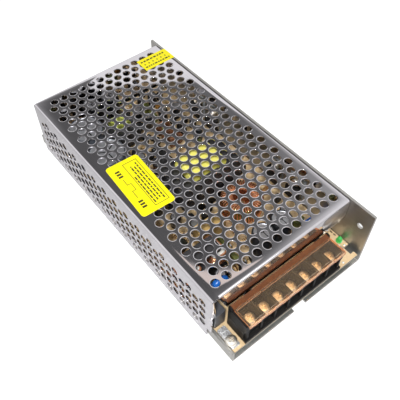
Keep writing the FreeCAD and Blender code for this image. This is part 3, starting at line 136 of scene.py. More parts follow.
finishRows = {
    # tin plated steel sheet, rolled: bright, faint streaks along the sheet, a few cloudy handling marks
    "coverSheet": ("tinPlatedSteelRolled", ("#cecbd0", "#dfdce0"), (0.35, 9, 0.35), (0.02, 0.055), 1, 0.0004, 26,
                   0.5),
    # aluminium sheet, mill finish: greyer and duller than the cover, streaks along its length
    "chassisSheet": ("aluminiumMillFinish", ("#b3b1ad", "#c8c6c2"), (0.4, 12, 0.4), (0.34, 0.46), 1, 0.002, 22),
    # nickel plated steel, cold headed: satin with small dents
    "screwNickel": ("nickelPlatedSteelHeaded", ("#e2dbcf", "#f8f3ea"), 0.5, (0.26, 0.42), 1, 0.006, 4),
    # tinned brass strip, pressed: soft sheen; the same strip inside the block is painted near black as painted shade
    # of the block's cavities
    "contactTin": ("tinnedBrassPressed", ("#b9b2a4", "#d3ccbd"), (0.6, 0.3, 0.6), (0.16, 0.3), 1, 0.004, 5),
    "contactPaintedShade": ("tinnedBrassDull", ("#26221c", "#3b352c"), (0.6, 0.3, 0.6), (0.35, 0.5), 1, 0.004, 5),
    # hot dipped tin on the earth bracket: lumpy bright solder
    "solderTin": ("hotDippedTin", ("#cfd0d2", "#fbfbfb"), 1.3, (0.16, 0.4), 0.8, 0.22, 3),
    # zinc plated steel, turned: plain grey, fine rings
    "standoffSteel": ("zincPlatedSteelTurned", ("#a9a8a4", "#c4c3c0"), (0.4, 0.4, 1.5), (0.25, 0.4), 1, 0.003),
    # paper phenolic laminate, pressed: warm tan, faint paper mottle, satin
    "laminate": ("phenolicPaperLaminate", ("#bfa27a", "#dcc39a"), 1.2, (0.38, 0.5), 0, 0.004, 9),
    # flame resistant nylon, moulded: near black, fine spark eroded texture
    "blackNylon": ("blackNylonMoulded", ("#0f0f0f", "#1b1a19"), 0.35, (0.42, 0.58), 0, 0.012, 12, 0.4,
                   {"Specular IOR Level": 0.14}),
    # filled epoxy, transfer moulded: charcoal, matt
    "blackEpoxy": ("blackEpoxyMoulded", ("#161617", "#232324"), 0.25, (0.45, 0.6), 0, 0.008),
    # amber polycarbonate, moulded: clear plate, edges in a stronger orange as painted glow of the light they gather,
    # and the thick strip at the hinge
    "amberClear": ("amberPolycarbonateMoulded", ("#ffe3c0", "#ffebcf"), 3, (0.015, 0.04), 0, 0, 15, 0.4,
                   {"Transmission Weight": 0.985, "IOR": 1.45, "Specular IOR Level": 0.16}, "#ffedd6"),
    "amberEdgePaintedGlow": ("amberPolycarbonateEdge", ("#e8935a", "#ffb27c"), 3, (0.03, 0.08), 0, 0, 15, 0.4,
                  {"Transmission Weight": 0.45, "IOR": 1.45}, "#ffd2a0"),
    "amberDeep": ("amberPolycarbonateThick", ("#6a3c19", "#7f4d24"), 3, (0.05, 0.12), 0, 0, 15, 0.4,
                  {"Transmission Weight": 0.45, "IOR": 1.45}, "#ffd2a0"),
    # green epoxy of the indicator, cast: glossy lens
    "greenLens": ("greenEpoxyLens", ("#21b53c", "#4ce06e"), 1.2, (0.05, 0.12), 0, 0, 18, 0.4,
                  {"Transmission Weight": 0.25, "IOR": 1.5, "Coat Weight": 0.4}),
    # epoxy and phenolic dips on small parts: smooth with a soft orange peel
    "blueDip": ("blueEpoxyDipped", ("#1457a8", "#2271c9"), 1.4, (0.18, 0.3), 0, 0.03),
    "redDip": ("redBrownEpoxyDipped", ("#70452f", "#8c5f42"), 1.4, (0.2, 0.32), 0, 0.03),
    "tanDip": ("tanCeramicDipped", ("#b9803c", "#d19a55"), 1.0, (0.3, 0.42), 0, 0.02),
    "darkDip": ("blackPhenolicDipped", ("#1c211c", "#2b332c"), 1.1, (0.4, 0.55), 0, 0.03),
    # polyester film and cases of capacitors, wound or moulded: satin
    "oliveFilm": ("olivePolyesterFilm", ("#4f5329", "#6d7138"), 0.6, (0.3, 0.42), 0, 0.006),
    "yellowFilm": ("sandPolyesterCase", ("#ab8c4f", "#c6a76e"), 0.6, (0.3, 0.42), 0, 0.006),
    "greyBlock": ("greyPolyesterCase", ("#36373a", "#4a4b4f"), 0.5, (0.35, 0.5), 0, 0.008),
    # manganese zinc ferrite, sintered and ground: dark grey, very fine sparkle
    "ferrite": ("ferriteSintered", ("#29282a", "#3a393b"), 0.3, (0.4, 0.6), 0, 0.01),
    # polyester tape over the windings: thin glossy film with wound edges along z
    "yellowTape": ("yellowPolyesterTape", ("#e2d95a", "#f4ee82"), (8, 8, 0.9), (0.16, 0.3), 0, 0.03),
    "greenTape": ("limePolyesterTape", ("#c3cf4a", "#dfe670"), (8, 8, 0.9), (0.16, 0.3), 0, 0.03),
    # enamelled copper wire: warm orange under clear enamel
    "copperWire": ("enamelledCopperWire", ("#cb8358", "#f2b58e"), 0.8, (0.14, 0.26), 0.85, 0.002, 6),
    # pressed iron powder ring, painted: dull olive
    "ringPaint": ("paintedIronPowder", ("#74782d", "#8a8e3a"), 0.6, (0.4, 0.55), 0, 0.01),
    # shrink sleeves over the cans: printed film without print here, and the etched top that stays bare
    "greySleeve": ("greyVinylSleeve", ("#3d4148", "#50555d"), (5, 5, 1.5), (0.24, 0.38), 0, 0.008),
    "blackSleeve": ("blackVinylSleeve", ("#17181b", "#26272b"), (5, 5, 1.5), (0.24, 0.38), 0, 0.008),
    "canTop": ("etchedAluminiumCan", ("#b9babd", "#d6d7da"), 0.5, (0.3, 0.45), 1, 0.004, 6),
    # lacquer on ceramic resistors and their bands: satin
    "resistorPaint": ("tanCeramicPaint", ("#c6a26c", "#dcbc88"), 0.5, (0.3, 0.42), 0, 0.008),
    "bandBrown": ("brownBandPaint", ("#4c2a14", "#6b3d20"), 0.5, (0.3, 0.42)),
    # soda lime glass tube of the fuse, drawn: clear and smooth
    "fuseGlass": ("sodaLimeGlassDrawn", ("#f2f6f4", "#ffffff"), 4, (0.01, 0.04), 0, 0, 18, 0.4,
                  {"Transmission Weight": 1.0, "IOR": 1.5}),
    # polycarbonate film under the board, rolled: hazy
    "clearFilm": ("polycarbonateFilm", ("#d8d9d6", "#ecedea"), 2, (0.12, 0.25), 0, 0, 18, 0.4,
                  {"Transmission Weight": 0.6, "IOR": 1.58}),
    # silicone pad and small nylon mouldings: matt grey, satin blue and white
    "greyPad": ("siliconeThermalPad", ("#7c8084", "#94989c"), 0.3, (0.6, 0.75), 0, 0.01),
    "bluePlastic": ("blueNylonMoulded", ("#1b4f9e", "#2a66ba"), 0.4, (0.35, 0.5), 0, 0.008),
    "whitePlastic": ("whiteNylonMoulded", ("#dedcd3", "#efede6"), 0.4, (0.35, 0.5), 0, 0.008),
    # printed labels: coated paper in bright yellow, ink in flat black, and the board's own printing
    "yellowPaper": ("yellowCoatedPaper", ("#f1e400", "#f8ec0a"), 0.25, (0.34, 0.46), 0, 0.003),
    "blackInk": ("blackScreenInk", ("#22220c", "#2e2e14"), 0.3, (0.4, 0.55)),
    "silkInk": ("darkBoardInk", ("#3a2a18", "#4a3822"), 0.4, (0.45, 0.6)),
}
boardSides = {"mask": "#2b4636", "edge": "#8f8b80", "upward": 0.8}


def colourBoardSides(material):
    # the laminate is tan on top, grey at the sawn edges and green under its solder mask
    tree = material.node_tree
    body = next(node for node in tree.nodes if node.type == "BSDF_PRINCIPLED")
    top = body.inputs["Base Color"].links[0].from_socket
    normal = addNode(tree, "ShaderNodeTexCoord").outputs["Normal"]
    facing = addNode(tree, "ShaderNodeSeparateXYZ", links={"Vector": normal}).outputs["Z"]
    level = addNode(tree, "ShaderNodeMapRange", inputs={"From Min": -1.0, "From Max": 1.0}, links={"Value": facing})
    side = addNode(tree, "ShaderNodeValToRGB", links={"Fac": level})
    setRamp(side, [(0.2, hexToLinear(boardSides["mask"])), (0.35, hexToLinear(boardSides["edge"]))])
    upward = addNode(tree, "ShaderNodeMath", {"operation": "GREATER_THAN"}, {1: boardSides["upward"]}, {0: level})
    colour = addNode(tree, "ShaderNodeMix", {"data_type": "RGBA"}, links={0: upward, 6: side, 7: top})
    tree.links.new(colour.outputs[2], body.inputs["Base Color"])


finishes = {key: makeFinish(*row) for key, row in finishRows.items()}
colourBoardSides(finishes["laminate"])
print("finishes made:", len(finishes))


# mesh helpers, all in millimetres

def toSpace(axis, u, v, w):
    return Vector({"x": (w, u, v), "y": (u, w, v), "z": (u, v, w)}[axis])


def circle(u, v, radius, sides):
    return [(u + radius * math.cos(math.tau * i / sides), v + radius * math.sin(math.tau * i / sides))
            for i in range(sides)]


def turned(points, angle, x=0, y=0):
    c, s = math.cos(angle), math.sin(angle)
    return [(x + u * c - v * s, y + u * s + v * c) for u, v in points]


def circleFor(outline, u, v, radius):
    # as many points as the outline, beginning near the outline's first one
    points = circle(u, v, radius, len(outline))
    a, b = outline[0]
    start = min(range(len(points)), key=lambda k: (a - points[k][0]) ** 2 + (b - points[k][1]) ** 2)
    return points[start:] + points[:start]


def rectangle(u0, v0, u1, v1, radius=0.0, steps=5):
    if not radius:
        return [(u0, v0), (u1, v0), (u1, v1), (u0, v1)]
    points = []
    for cu, cv, start in ((u1 - radius, v0 + radius, -90), (u1 - radius, v1 - radius, 0),
                          (u0 + radius, v1 - radius, 90), (u0 + radius, v0 + radius, 180)):
        for i in range(steps + 1):
            turn = math.radians(start + 90 * i / steps)
            points.append((cu + radius * math.cos(turn), cv + radius * math.sin(turn)))
    return points


def addPrism(bm, outline, low, high, axis="z", material=0, taper=1.0):
    cu, cv = (sum(p[k] for p in outline) / len(outline) for k in (0, 1))
    bottom = [bm.verts.new(toSpace(axis, cu + (u - cu) * taper, cv + (v - cv) * taper, low)) for u, v in outline]
    top = [bm.verts.new(toSpace(axis, u, v, high)) for u, v in outline]
    faces = [bm.faces.new(bottom), bm.faces.new(top)]
    for i in range(len(outline)):
        j = (i + 1) % len(outline)
        faces.append(bm.faces.new((bottom[i], bottom[j], top[j], top[i])))
    for face in faces:
        face.material_index = material


def addBox(bm, low, high, material=0):
    addPrism(bm, rectangle(low[0], low[1], high[0], high[1]), low[2], high[2], "z", material)


def addRing(bm, outer, inner, low, high, axis="z", material=0):
    # two outlines with the same number of points; the space between them is solid
    outLow, outHigh, inLow, inHigh = ([bm.verts.new(toSpace(axis, u, v, w)) for u, v in line]
                                      for line in (outer, inner) for w in (low, high))
    for i in range(len(outer)):
        j = (i + 1) % len(outer)
        for quad in ((outLow[i], outLow[j], outHigh[j], outHigh[i]), (inLow[j], inLow[i], inHigh[i], inHigh[j]),
                     (outHigh[i], outHigh[j], inHigh[j], inHigh[i]), (outLow[j], outLow[i], inLow[i], inLow[j])):
            bm.faces.new(quad).material_index = material


def addLathe(bm, profile, centre, axis="z", segments=40, materials=None):
    # profile: radius and distance along the axis; materials: one index for each step of the profile
    rings = []
    for radius, w in profile:
        points = [centre] if radius < 1e-6 else circle(*centre, radius, segments)
        rings.append([bm.verts.new(toSpace(axis, u, v, w)) for u, v in points])
    for step, (a, b) in enumerate(zip(rings, rings[1:])):
        for i in range(segments):
            j = (i + 1) % segments
            if len(a) == 1 and len(b) == 1:
                break
            if len(a) == 1:
                face = bm.faces.new((a[0], b[i], b[j]))
            elif len(b) == 1:
                face = bm.faces.new((a[j], a[i], b[0]))
            else:
                face = bm.faces.new((a[i], b[i], b[j], a[j]))
            face.material_index = materials[step] if materials else 0


def addTube(bm, path, radius, segments=8, closed=False, material=0):
    points = [Vector(p) for p in path]
    count = len(points)
    rings = []
    side = None
    for i, point in enumerate(points):
        before = points[i - 1] if (i or closed) else point
        after = points[(i + 1) % count] if (i < count - 1 or closed) else point
        ahead = (after - before).normalized()
        if side is None:
            side = ahead.orthogonal().normalized()
        side = (side - ahead * side.dot(ahead)).normalized()
        other = ahead.cross(side)
        rings.append([bm.verts.new(point + (side * math.cos(t) + other * math.sin(t)) * radius)
                      for t in (math.tau * k / segments for k in range(segments))])
    if not closed:
        for ring in (rings[0], rings[-1]):
            bm.faces.new(ring).material_index = material
    for a, b in zip(rings, rings[1:] + (rings[:1] if closed else [])):
        shift = 0
        if closed and a is rings[-1]:
            shift = min(range(segments), key=lambda s: (a[0].co - b[s].co).length)
        for k in range(segments):
            n = (k + 1) % segments
            face = bm.faces.new((a[k], a[n], b[(n + shift) % segments], b[(k + shift) % segments]))
            face.material_index = material


def addPin(bm, x, y, top, radius, segments=8, material=1):
    addTube(bm, [(x, y, boardTop - 0.1), (x, y, top)], radius, segments, False, material)


def bakeModifiers(obj):
    graph = bpy.context.evaluated_depsgraph_get()
    baked = bpy.data.meshes.new_from_object(obj.evaluated_get(graph))
    obj.modifiers.clear()
    old = obj.data
    obj.data = baked
    bpy.data.meshes.remove(old)


def makeObject(name, bm, materials, turnFaces=True):
    if turnFaces:
        bmesh.ops.recalc_face_normals(bm, faces=bm.faces)
    bmesh.ops.scale(bm, vec=(mm, mm, mm), verts=bm.verts)
    mesh = bpy.data.meshes.new(name)
    bm.to_mesh(mesh)
    bm.free()
    for material in materials:
        mesh.materials.append(finishes[material])
    obj = bpy.data.objects.new(name, mesh)
    bpy.context.scene.collection.objects.link(obj)
    return obj


def addBevel(obj, width, segments=2, angle=35):
    bevel = obj.modifiers.new("edge", "BEVEL")
    bevel.width = width * mm
    bevel.segments = segments
    bevel.limit_method = "ANGLE"
    bevel.angle_limit = math.radians(angle)
    bevel.use_clamp_overlap = True
    bevel.harden_normals = True  # flat faces keep mirroring like flat faces


def coatNode(node, finish):
    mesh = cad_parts[node].data
    mesh.materials.clear()
    mesh.materials.append(finishes[finish])


def finishPiece(name, bm, materials, replaced=(), body="case", slot=None, bevel=0.0, segments=2, angle=35):
    obj = makeObject(name, bm, materials)
    obj.data.shade_smooth()
    obj.data.set_sharp_from_angle(angle=math.radians(angle))
    if bevel:
        addBevel(obj, bevel, segments, angle)
        bakeModifiers(obj)
    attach(obj, body)
    if replaced:
        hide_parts(*replaced)
    for node in replaced:
        coatNode(node, materials[0])


def finishNode(node, bm, materials, slot, **more):
    # a piece that stands for one node and takes the node's name in camel case
    first, *others = node.split("_")
    finishPiece(first + "".join(word.capitalize() for word in others), bm, materials, [node], slot=slot, **more)


# camera, as fitted to the corners of the case in the photograph

cameraView = {
    "place": (-125.7, -169.3, 269.4), "azimuth": -35.64, "elevation": 50.91, "roll": -2.61,
    "lens": 48.1, "shift": (0.05, -0.0325),
}


def makeCamera():
    a, e, r = (math.radians(cameraView[key]) for key in ("azimuth", "elevation", "roll"))
    back = Vector((math.sin(a) * math.cos(e), -math.cos(a) * math.cos(e), math.sin(e)))
    right = Vector((math.cos(a), math.sin(a), 0))
    up = back.cross(right)
    sideways = right * math.cos(r) + up * math.sin(r)
    upwards = up * math.cos(r) - right * math.sin(r)
    data = bpy.data.cameras.new("camera")
    data.lens = cameraView["lens"]
    data.sensor_width = 36
    data.sensor_fit = "HORIZONTAL"
    data.shift_x, data.shift_y = cameraView["shift"]
    data.clip_start = 0.01
    camera = bpy.data.objects.new("camera", data)
    camera.matrix_world = Matrix.Translation(Vector(cameraView["place"]) * mm) @ Matrix(
        (sideways, upwards, back)).transposed().to_4x4()
    bpy.context.scene.collection.objects.link(camera)
    bpy.context.scene.camera = camera
    return back


# studio: white floor, plain soft light, a darker ceiling for the sheet metal to mirror. Angles are in degrees,
# lamp sizes and distances in metres, and edges are half the width of a soft step

studio = {
    "ambient": 0.38, "ceiling": 0.12, "whiteZone": 1.0, "zoneHeading": 24, "zoneTop": 0.64, "zoneEdge": 0.004,
    "topEdge": 0.002, "panelCentre": (26, 53), "panelRadius": (10, 32), "panelLow": 0.6, "panelEdge": 0.04,
    "ring": (42.4, 52.6, 8.1), "ringHalf": 0.0017, "ringGlow": 0.8, "ringLow": 0.855,
    "ringTint": (1.0, 0.84, 0.74, 1),
    "throughGlass": 0.85, "floorHalf": 3000, "floorGlow": 0.7, "floorInMetal": 0.22, "floorShade": 0.45,
    "keyWatts": 3.6, "keyLift": (-0.12, 0, 0.32), "keySize": 0.06, "keyDistance": 0.62,
    "fillWatts": 0.7, "fillFrom": (0.2, -1, 0.9), "fillSize": 0.4, "fillDistance": 0.7,
}
soft, dot = {"interpolation_type": "SMOOTHSTEP"}, {"operation": "DOT_PRODUCT"}
times, larger = {"operation": "MULTIPLY"}, {"operation": "MAXIMUM"}


def skyDirection(turn, rise):
    return math.sin(turn) * math.cos(rise), math.cos(turn) * math.cos(rise), math.sin(rise)


def makeWorld():
    s = studio
    world = bpy.data.worlds.new("studio")
    bpy.context.scene.world = world
    world.use_nodes = True
    tree = world.node_tree
    tree.nodes.clear()
    ray = addNode(tree, "ShaderNodeLightPath").outputs
    sky = addNode(tree, "ShaderNodeTexCoord").outputs["Generated"]
    height = addNode(tree, "ShaderNodeSeparateXYZ", links={"Vector": sky}).outputs["Z"]
    heading = math.radians(s["zoneHeading"])
    turn, rise, size = (math.radians(v) for v in s["ring"])
    toZone, toPanel, toRing = (addNode(tree, "ShaderNodeVectorMath", dot, {1: direction}, {0: sky}).outputs["Value"]
                               for direction in ((math.cos(heading), -math.sin(heading), 0),
                                                 skyDirection(*(math.radians(v) for v in s["panelCentre"])),
                                                 skyDirection(turn, rise)))
    # soft steps: beside and under the white zone, outside and below the round dark panel, above the ring's end
    near, far = (math.cos(math.radians(v)) for v in s["panelRadius"])
    beside, under, outside, below, high = (
        addNode(tree, "ShaderNodeMapRange", soft, {"From Min": start, "From Max": end}, {"Value": source})
        for source, start, end in (
            (toZone, -s["zoneEdge"], s["zoneEdge"]),
            (height, s["zoneTop"] + s["topEdge"], s["zoneTop"] - s["topEdge"]),
            (toPanel, near, far), (height, s["panelLow"], s["panelLow"] - s["panelEdge"]),
            (height, s["ringLow"] - s["zoneEdge"], s["ringLow"] + s["zoneEdge"])))
    zone = addNode(tree, "ShaderNodeMath", times, links={0: beside, 1: under})
    around = addNode(tree, "ShaderNodeMath", larger, links={0: outside, 1: zone})
    bright = addNode(tree, "ShaderNodeMath", larger, links={0: around, 1: below})
    mirrored = addNode(tree, "ShaderNodeMapRange", inputs={"To Min": s["ceiling"], "To Max": s["whiteZone"]},
                       links={"Value": bright})
    # a warm ring round part of the panel leaves a thin arc near the front left corner
    edge, half, glow = math.cos(size), s["ringHalf"], (*[s["ringGlow"]] * 3, 1)
    across = addNode(tree, "ShaderNodeMapRange", inputs={"From Min": edge - 2 * half, "From Max": edge + 2 * half},
                     links={"Value": toRing})
    ring = addNode(tree, "ShaderNodeValToRGB", links={"Fac": across})
    setRamp(ring, [(0.1, (0, 0, 0, 1)), (0.3, glow), (0.7, glow), (0.9, (0, 0, 0, 1))])
    arc = addNode(tree, "ShaderNodeMath", times, links={0: ring, 1: high})
    tint = addNode(tree, "ShaderNodeMix", {"data_type": "RGBA"}, {6: (1, 1, 1, 1), 7: s["ringTint"]}, {0: arc})
    total = addNode(tree, "ShaderNodeMath", {"operation": "ADD"}, links={0: mirrored, 1: arc})
    through = addNode(tree, "ShaderNodeMath", times, {1: s["throughGlass"]}, {0: ray["Is Transmission Ray"]})
    level = addNode(tree, "ShaderNodeMath", larger, links={0: total, 1: through})
    ceiling = addNode(tree, "ShaderNodeBackground", links={"Strength": level, "Color": tint.outputs[2]})
    ambient, white = (addNode(tree, "ShaderNodeBackground", inputs={"Strength": strength, "Color": (1, 1, 1, 1)})
                      for strength in (s["ambient"], 1.0))
    mirror = addNode(tree, "ShaderNodeMath", larger, links={0: ray["Is Glossy Ray"], 1: ray["Is Transmission Ray"]})
    glossy = addNode(tree, "ShaderNodeMixShader", links={0: mirror, 1: ambient, 2: ceiling})
    final = addNode(tree, "ShaderNodeMixShader", links={0: ray["Is Camera Ray"], 1: glossy, 2: white})
    addNode(tree, "ShaderNodeOutputWorld", links={"Surface": final})


def makeFloor():
    bm = bmesh.new()
    half = studio["floorHalf"]
    addBox(bm, (-half, -half, -2), (half, half, -0.02))
    floor = makeObject("studioFloor", bm, [])
    material = bpy.data.materials.new("matteWhiteFloorPaint")
    material.use_nodes = True
    tree = material.node_tree
    tree.nodes.clear()
    ray = addNode(tree, "ShaderNodeLightPath").outputs
    mirrored = addNode(tree, "ShaderNodeMath", times, {1: studio["floorInMetal"]}, {0: ray["Is Glossy Ray"]})
    seen = addNode(tree, "ShaderNodeMath", larger, links={0: ray["Is Camera Ray"], 1: mirrored})
    seenToo = addNode(tree, "ShaderNodeMath", larger, links={0: seen, 1: ray["Is Transmission Ray"]})
    glow = addNode(tree, "ShaderNodeMath", times, {1: studio["floorGlow"]}, {0: seenToo})
    paint = addNode(tree, "ShaderNodeBsdfDiffuse", inputs={"Color": (*[studio["floorShade"]] * 3, 1)})
    light = addNode(tree, "ShaderNodeEmission", links={"Strength": glow})
    both = addNode(tree, "ShaderNodeAddShader", links={0: paint, 1: light})
    addNode(tree, "ShaderNodeOutputMaterial", links={"Surface": both})
    floor.data.materials.append(material)


def addLamp(lampName, direction, prefix):
    data = bpy.data.lights.new(lampName, "AREA")
    data.shape = "DISK"
    data.size = studio[prefix + "Size"]
    data.energy = studio[prefix + "Watts"]
    lamp = bpy.data.objects.new(lampName, data)
    toward = Vector(direction).normalized()
    turned = toward.to_track_quat("Z", "Y").to_matrix().to_4x4()
    lamp.matrix_world = Matrix.Translation(toward * studio[prefix + "Distance"]) @ turned
    bpy.context.scene.collection.objects.link(lamp)


cameraBack = makeCamera()
makeWorld()
makeFloor()
addLamp("keyLamp", cameraBack + Vector(studio["keyLift"]), "key")
addLamp("fillLamp", studio["fillFrom"], "fill")
bpy.context.scene.view_settings.view_transform = "Standard"
print("camera, floor and light set")


# cover: one folded sheet with round holes, made as its outer face and then given its thickness

coverSheet = {
    "thickness": 0.8, "bend": 1.3, "bendSteps": 6, "holeDiameter": 4.8, "holeSides": 22, "pitch": 6.84,
    "rowPitch": 5.6, "columns": 13, "rows": 30, "firstRow": 7.3, "sideHoles": 4, "sideLowest": 7.4,
    "lipDrop": 16, "lipInset": 4.5, "lipRun": 5.4, "lipSlopeStart": 2, "lipCorner": 3, "returnWidth": 2.5,
    "returnLow": 24, "returnHigh": 40.6, "notch": 3.5, "notchHeight": 8.8, "flangeDrop": 10, "flangeSetback": 8,
    "rearLift": 2, "rearGap": 0.1, "rearStep": (1.9, 8.8), "tuck": 0.3, "rimEdge": 0.24, "dish": 0.36,
    "sink": 0.085, "weld": 0.004,
}


def addPatch(bm, outline, axis, level, holes=(), inward=0):
    # fills an outline with triangles and leaves round holes, each with the shallow dish that a punch makes
    s = coverSheet
    radius, sides = s["holeDiameter"] / 2, s["holeSides"]
    wide = radius + s["dish"]
    points = [Vector(p) for p in outline]
    edges = [(i, (i + 1) % len(outline)) for i in range(len(outline))]
    for u, v in holes:
        start = len(points)
        points += [Vector(p) for p in circle(u, v, wide, sides)]
        edges += [(start + i, start + (i + 1) % sides) for i in range(sides)]
    found, _, faces, sources, *_ = geometry.delaunay_2d_cdt(points, edges, [], 1, 1e-5)
    verts = [bm.verts.new(toSpace(axis, p.x, p.y, level)) for p in found]
    for face in faces:
        middle = sum((found[i] for i in face), Vector((0, 0))) / len(face)
        if all((middle.x - u) ** 2 + (middle.y - v) ** 2 >= (wide * 0.985) ** 2 for u, v in holes):
            bm.faces.new([verts[i] for i in face])
    vertOf = {source: verts[i] for i, group in enumerate(sources) for source in group}
    for number, (u, v) in enumerate(holes):
        start = len(outline) + number * sides
        outer = [vertOf[start + i] for i in range(sides)]
        inner = [bm.verts.new(toSpace(axis, *p, level + inward * s["sink"])) for p in circle(u, v, radius, sides)]
        for i in range(sides):
            j = (i + 1) % sides
            bm.faces.new((outer[i], outer[j], inner[j], inner[i]))
            bm.edges.get((outer[i], outer[j])).smooth = False


def addBend(bm, start, end, centre, outward, upward):
    # a quarter round strip from start to end, turning from outward to upward about its centre line
    rows = []
    for i in range(coverSheet["bendSteps"] + 1):
        turn = math.pi / 2 * i / coverSheet["bendSteps"]
        offset = (Vector(outward) * math.cos(turn) + Vector(upward) * math.sin(turn)) * coverSheet["bend"]
        rows.append([bm.verts.new(Vector(centre) + offset + Vector(p)) for p in (start, end)])
    for a, b in zip(rows, rows[1:]):
        bm.faces.new((a[0], a[1], b[1], b[0]))


def addCorner(bm, centre, signX, signY):
    # an eighth of a ball closes the corner where two bends meet
    steps = coverSheet["bendSteps"]
    angles = [math.pi / 2 * i / steps for i in range(steps + 1)]
    grid = [[bm.verts.new(Vector(centre) + coverSheet["bend"] * Vector((
        signX * math.cos(lift) * math.cos(turn), signY * math.cos(lift) * math.sin(turn), math.sin(lift))))
        for turn in angles] for lift in angles]
    for a, b in zip(grid, grid[1:]):
        for j in range(steps):
            corners = [a[j], a[j + 1], b[j + 1], b[j]]
            if (b[j].co - b[j + 1].co).length < 1e-6:
                corners.pop()
            bm.faces.new(corners)


def orientOutward(bm, middle):
    bm.normal_update()
    for face in bm.faces:
        main = max(range(3), key=lambda k: abs(face.normal[k]))
        if face.normal[main] * (face.calc_center_median() - middle)[main] < 0:
            face.normal_flip()


def makeCover():
    s = coverSheet
    left, front, low = coverLow
    right, rear, top = coverHigh
    r, t, tuck = s["bend"], s["thickness"], s["tuck"]
    edge = top - r
    bm = bmesh.new()
    rowPlaces = [front + s["firstRow"] + row * s["rowPitch"] for row in range(s["rows"])]
    # holes of the top, staggered, the longer rows first
    topHoles = [((column - (s["columns"] - row % 2 - 1) / 2) * s["pitch"], place)
                for row, place in enumerate(rowPlaces) for column in range(s["columns"] - row % 2)]
    lipLeft = left + s["lipInset"]
    addPatch(bm, [(left + r, front), (lipLeft, front), (lipLeft, front + r), (right - r, front + r),
                  (right - r, rear - r), (left + r, rear - r)], "z", top, topHoles, -1)
    # left wall with its own holes, its front notch and the narrow return
    sideHoles = [(place, s["sideLowest"] + s["pitch"] * (level + (0 if row % 2 else 0.5)))
                 for row, place in enumerate(rowPlaces) for level in range(s["sideHoles"])]
    addPatch(bm, [(front + s["notch"], low), (rear, low), (rear, edge), (rear - r, edge), (front, edge),
                  (front, s["returnHigh"]), (front + r, s["returnHigh"]), (front + r, s["returnLow"]),
                  (front, s["returnLow"]), (front, s["notchHeight"]), (front + s["notch"], s["notchHeight"])],
             "x", left, sideHoles, 1)
    addBend(bm, (0, 0, s["returnLow"]), (0, 0, s["returnHigh"]), (left + r, front + r, 0), (-1, 0, 0), (0, -1, 0))
    addPatch(bm, rectangle(left + r, s["returnLow"], left + s["returnWidth"], s["returnHigh"]), "y", front)
    # bends along the top: left, right, front and rear, and the corners between them
    for start, end, centre, outward in (
            ((0, front, 0), (0, rear - r, 0), (left + r, 0, edge), (-1, 0, 0)),
            ((0, front + r, 0), (0, rear - r, 0), (right - r, 0, edge), (1, 0, 0)),
            ((lipLeft, 0, 0), (right - r, 0, 0), (0, front + r, edge), (0, -1, 0)),
            ((left + r, 0, 0), (right - r, 0, 0), (0, rear - r, edge), (0, 1, 0))):
        addBend(bm, start, end, centre, outward, (0, 0, 1))
    addCorner(bm, (right - r, front + r, edge), 1, -1)
    addCorner(bm, (right - r, rear - r, edge), 1, 1)
    addCorner(bm, (left + r, rear - r, edge), -1, 1)
    # right flange between its setbacks
    setback = s["flangeSetback"]
    addPatch(bm, rectangle(front + setback, top - s["flangeDrop"], rear - setback, edge), "x", right)
    # front lip with its slanted end and rounded corner
    lipLow, c = top - s["lipDrop"], s["lipCorner"]
    rounded = [(right - c + c * math.sin(a), lipLow + c - c * math.cos(a))
               for a in (math.pi / 2 * i / 6 for i in range(7))]
    addPatch(bm, [(lipLeft, edge), (lipLeft, top - s["lipSlopeStart"]), (lipLeft + s["lipRun"], lipLow), *rounded,
                  (right, edge - tuck), (right - r, edge)], "y", front)
    # rear wall, which steps round the chassis flange
    inset, (across, rise), lift = left + t + s["rearGap"], s["rearStep"], s["rearLift"]
    addPatch(bm, [(left + r, edge), (inset, edge - tuck), (inset, rise), (left + t + across, rise),
                  (left + t + across, lift), (right, lift), (right, edge - tuck), (right - r, edge)], "y", rear)
    bmesh.ops.remove_doubles(bm, verts=bm.verts, dist=s["weld"])
    orientOutward(bm, Vector(((left + right) / 2, (front + rear) / 2, (low + top) / 2)))
    obj = makeObject("coverSheet", bm, ["coverSheet"], turnFaces=False)
    solid = obj.modifiers.new("sheet", "SOLIDIFY")
    solid.thickness = t * mm
    solid.offset = -1
    solid.use_even_offset = True
    obj.data.shade_smooth()
    addBevel(obj, s["rimEdge"], 2, 40)
    bakeModifiers(obj)
    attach(obj, "case")
    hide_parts("cover")
    coatNode("cover", "coverSheet")
    print("cover made:", len(obj.data.polygons), "faces")


makeCover()


# screws: a headed blank with a cross recess, made once for each size and set down where needed

cross = {"half": 0.085, "depth": 0.24, "above": 0.5, "taper": 0.55}


def screwBlank(head, height, shank, length, recess=0.62, countersunk=False):
    bm = bmesh.new()
    r = head / 2
    profile = [(0, -length), (shank / 2, -length)]
    if countersunk:
        profile += [(shank / 2, -height), (r, -0.15), (r, 0), (r * 0.98, 0), (0, 0)]
    else:
        profile += [(shank / 2, 0), (r * 0.97, 0), (r, height * 0.12), (r, height * 0.4), (r * 0.96, height * 0.66),
                    (r * 0.84, height * 0.87), (r * 0.62, height * 0.97), (0, height)]
    addLathe(bm, profile, (0, 0), "z", 32)
    blank = makeObject("screwBlank", bm, [])
    long, wide = head * recess / 2, head * cross["half"]
    arms = []
    for turn in range(4):
        arms += turned([(-wide, -long), (wide, -long), (wide, -wide)], math.pi / 2 * turn)
    bm = bmesh.new()
    top = 0 if countersunk else height
    addPrism(bm, arms, top - head * cross["depth"], top + cross["above"], taper=cross["taper"])
    cutter = makeObject("recessCutter", bm, [])
    cutting = blank.modifiers.new("recess", "BOOLEAN")
    cutting.operation = "DIFFERENCE"
    cutting.object = cutter
    cutting.solver = "EXACT"
    bakeModifiers(blank)
    mesh = blank.data
    bpy.data.objects.remove(blank)
    bpy.data.objects.remove(cutter)
    return mesh


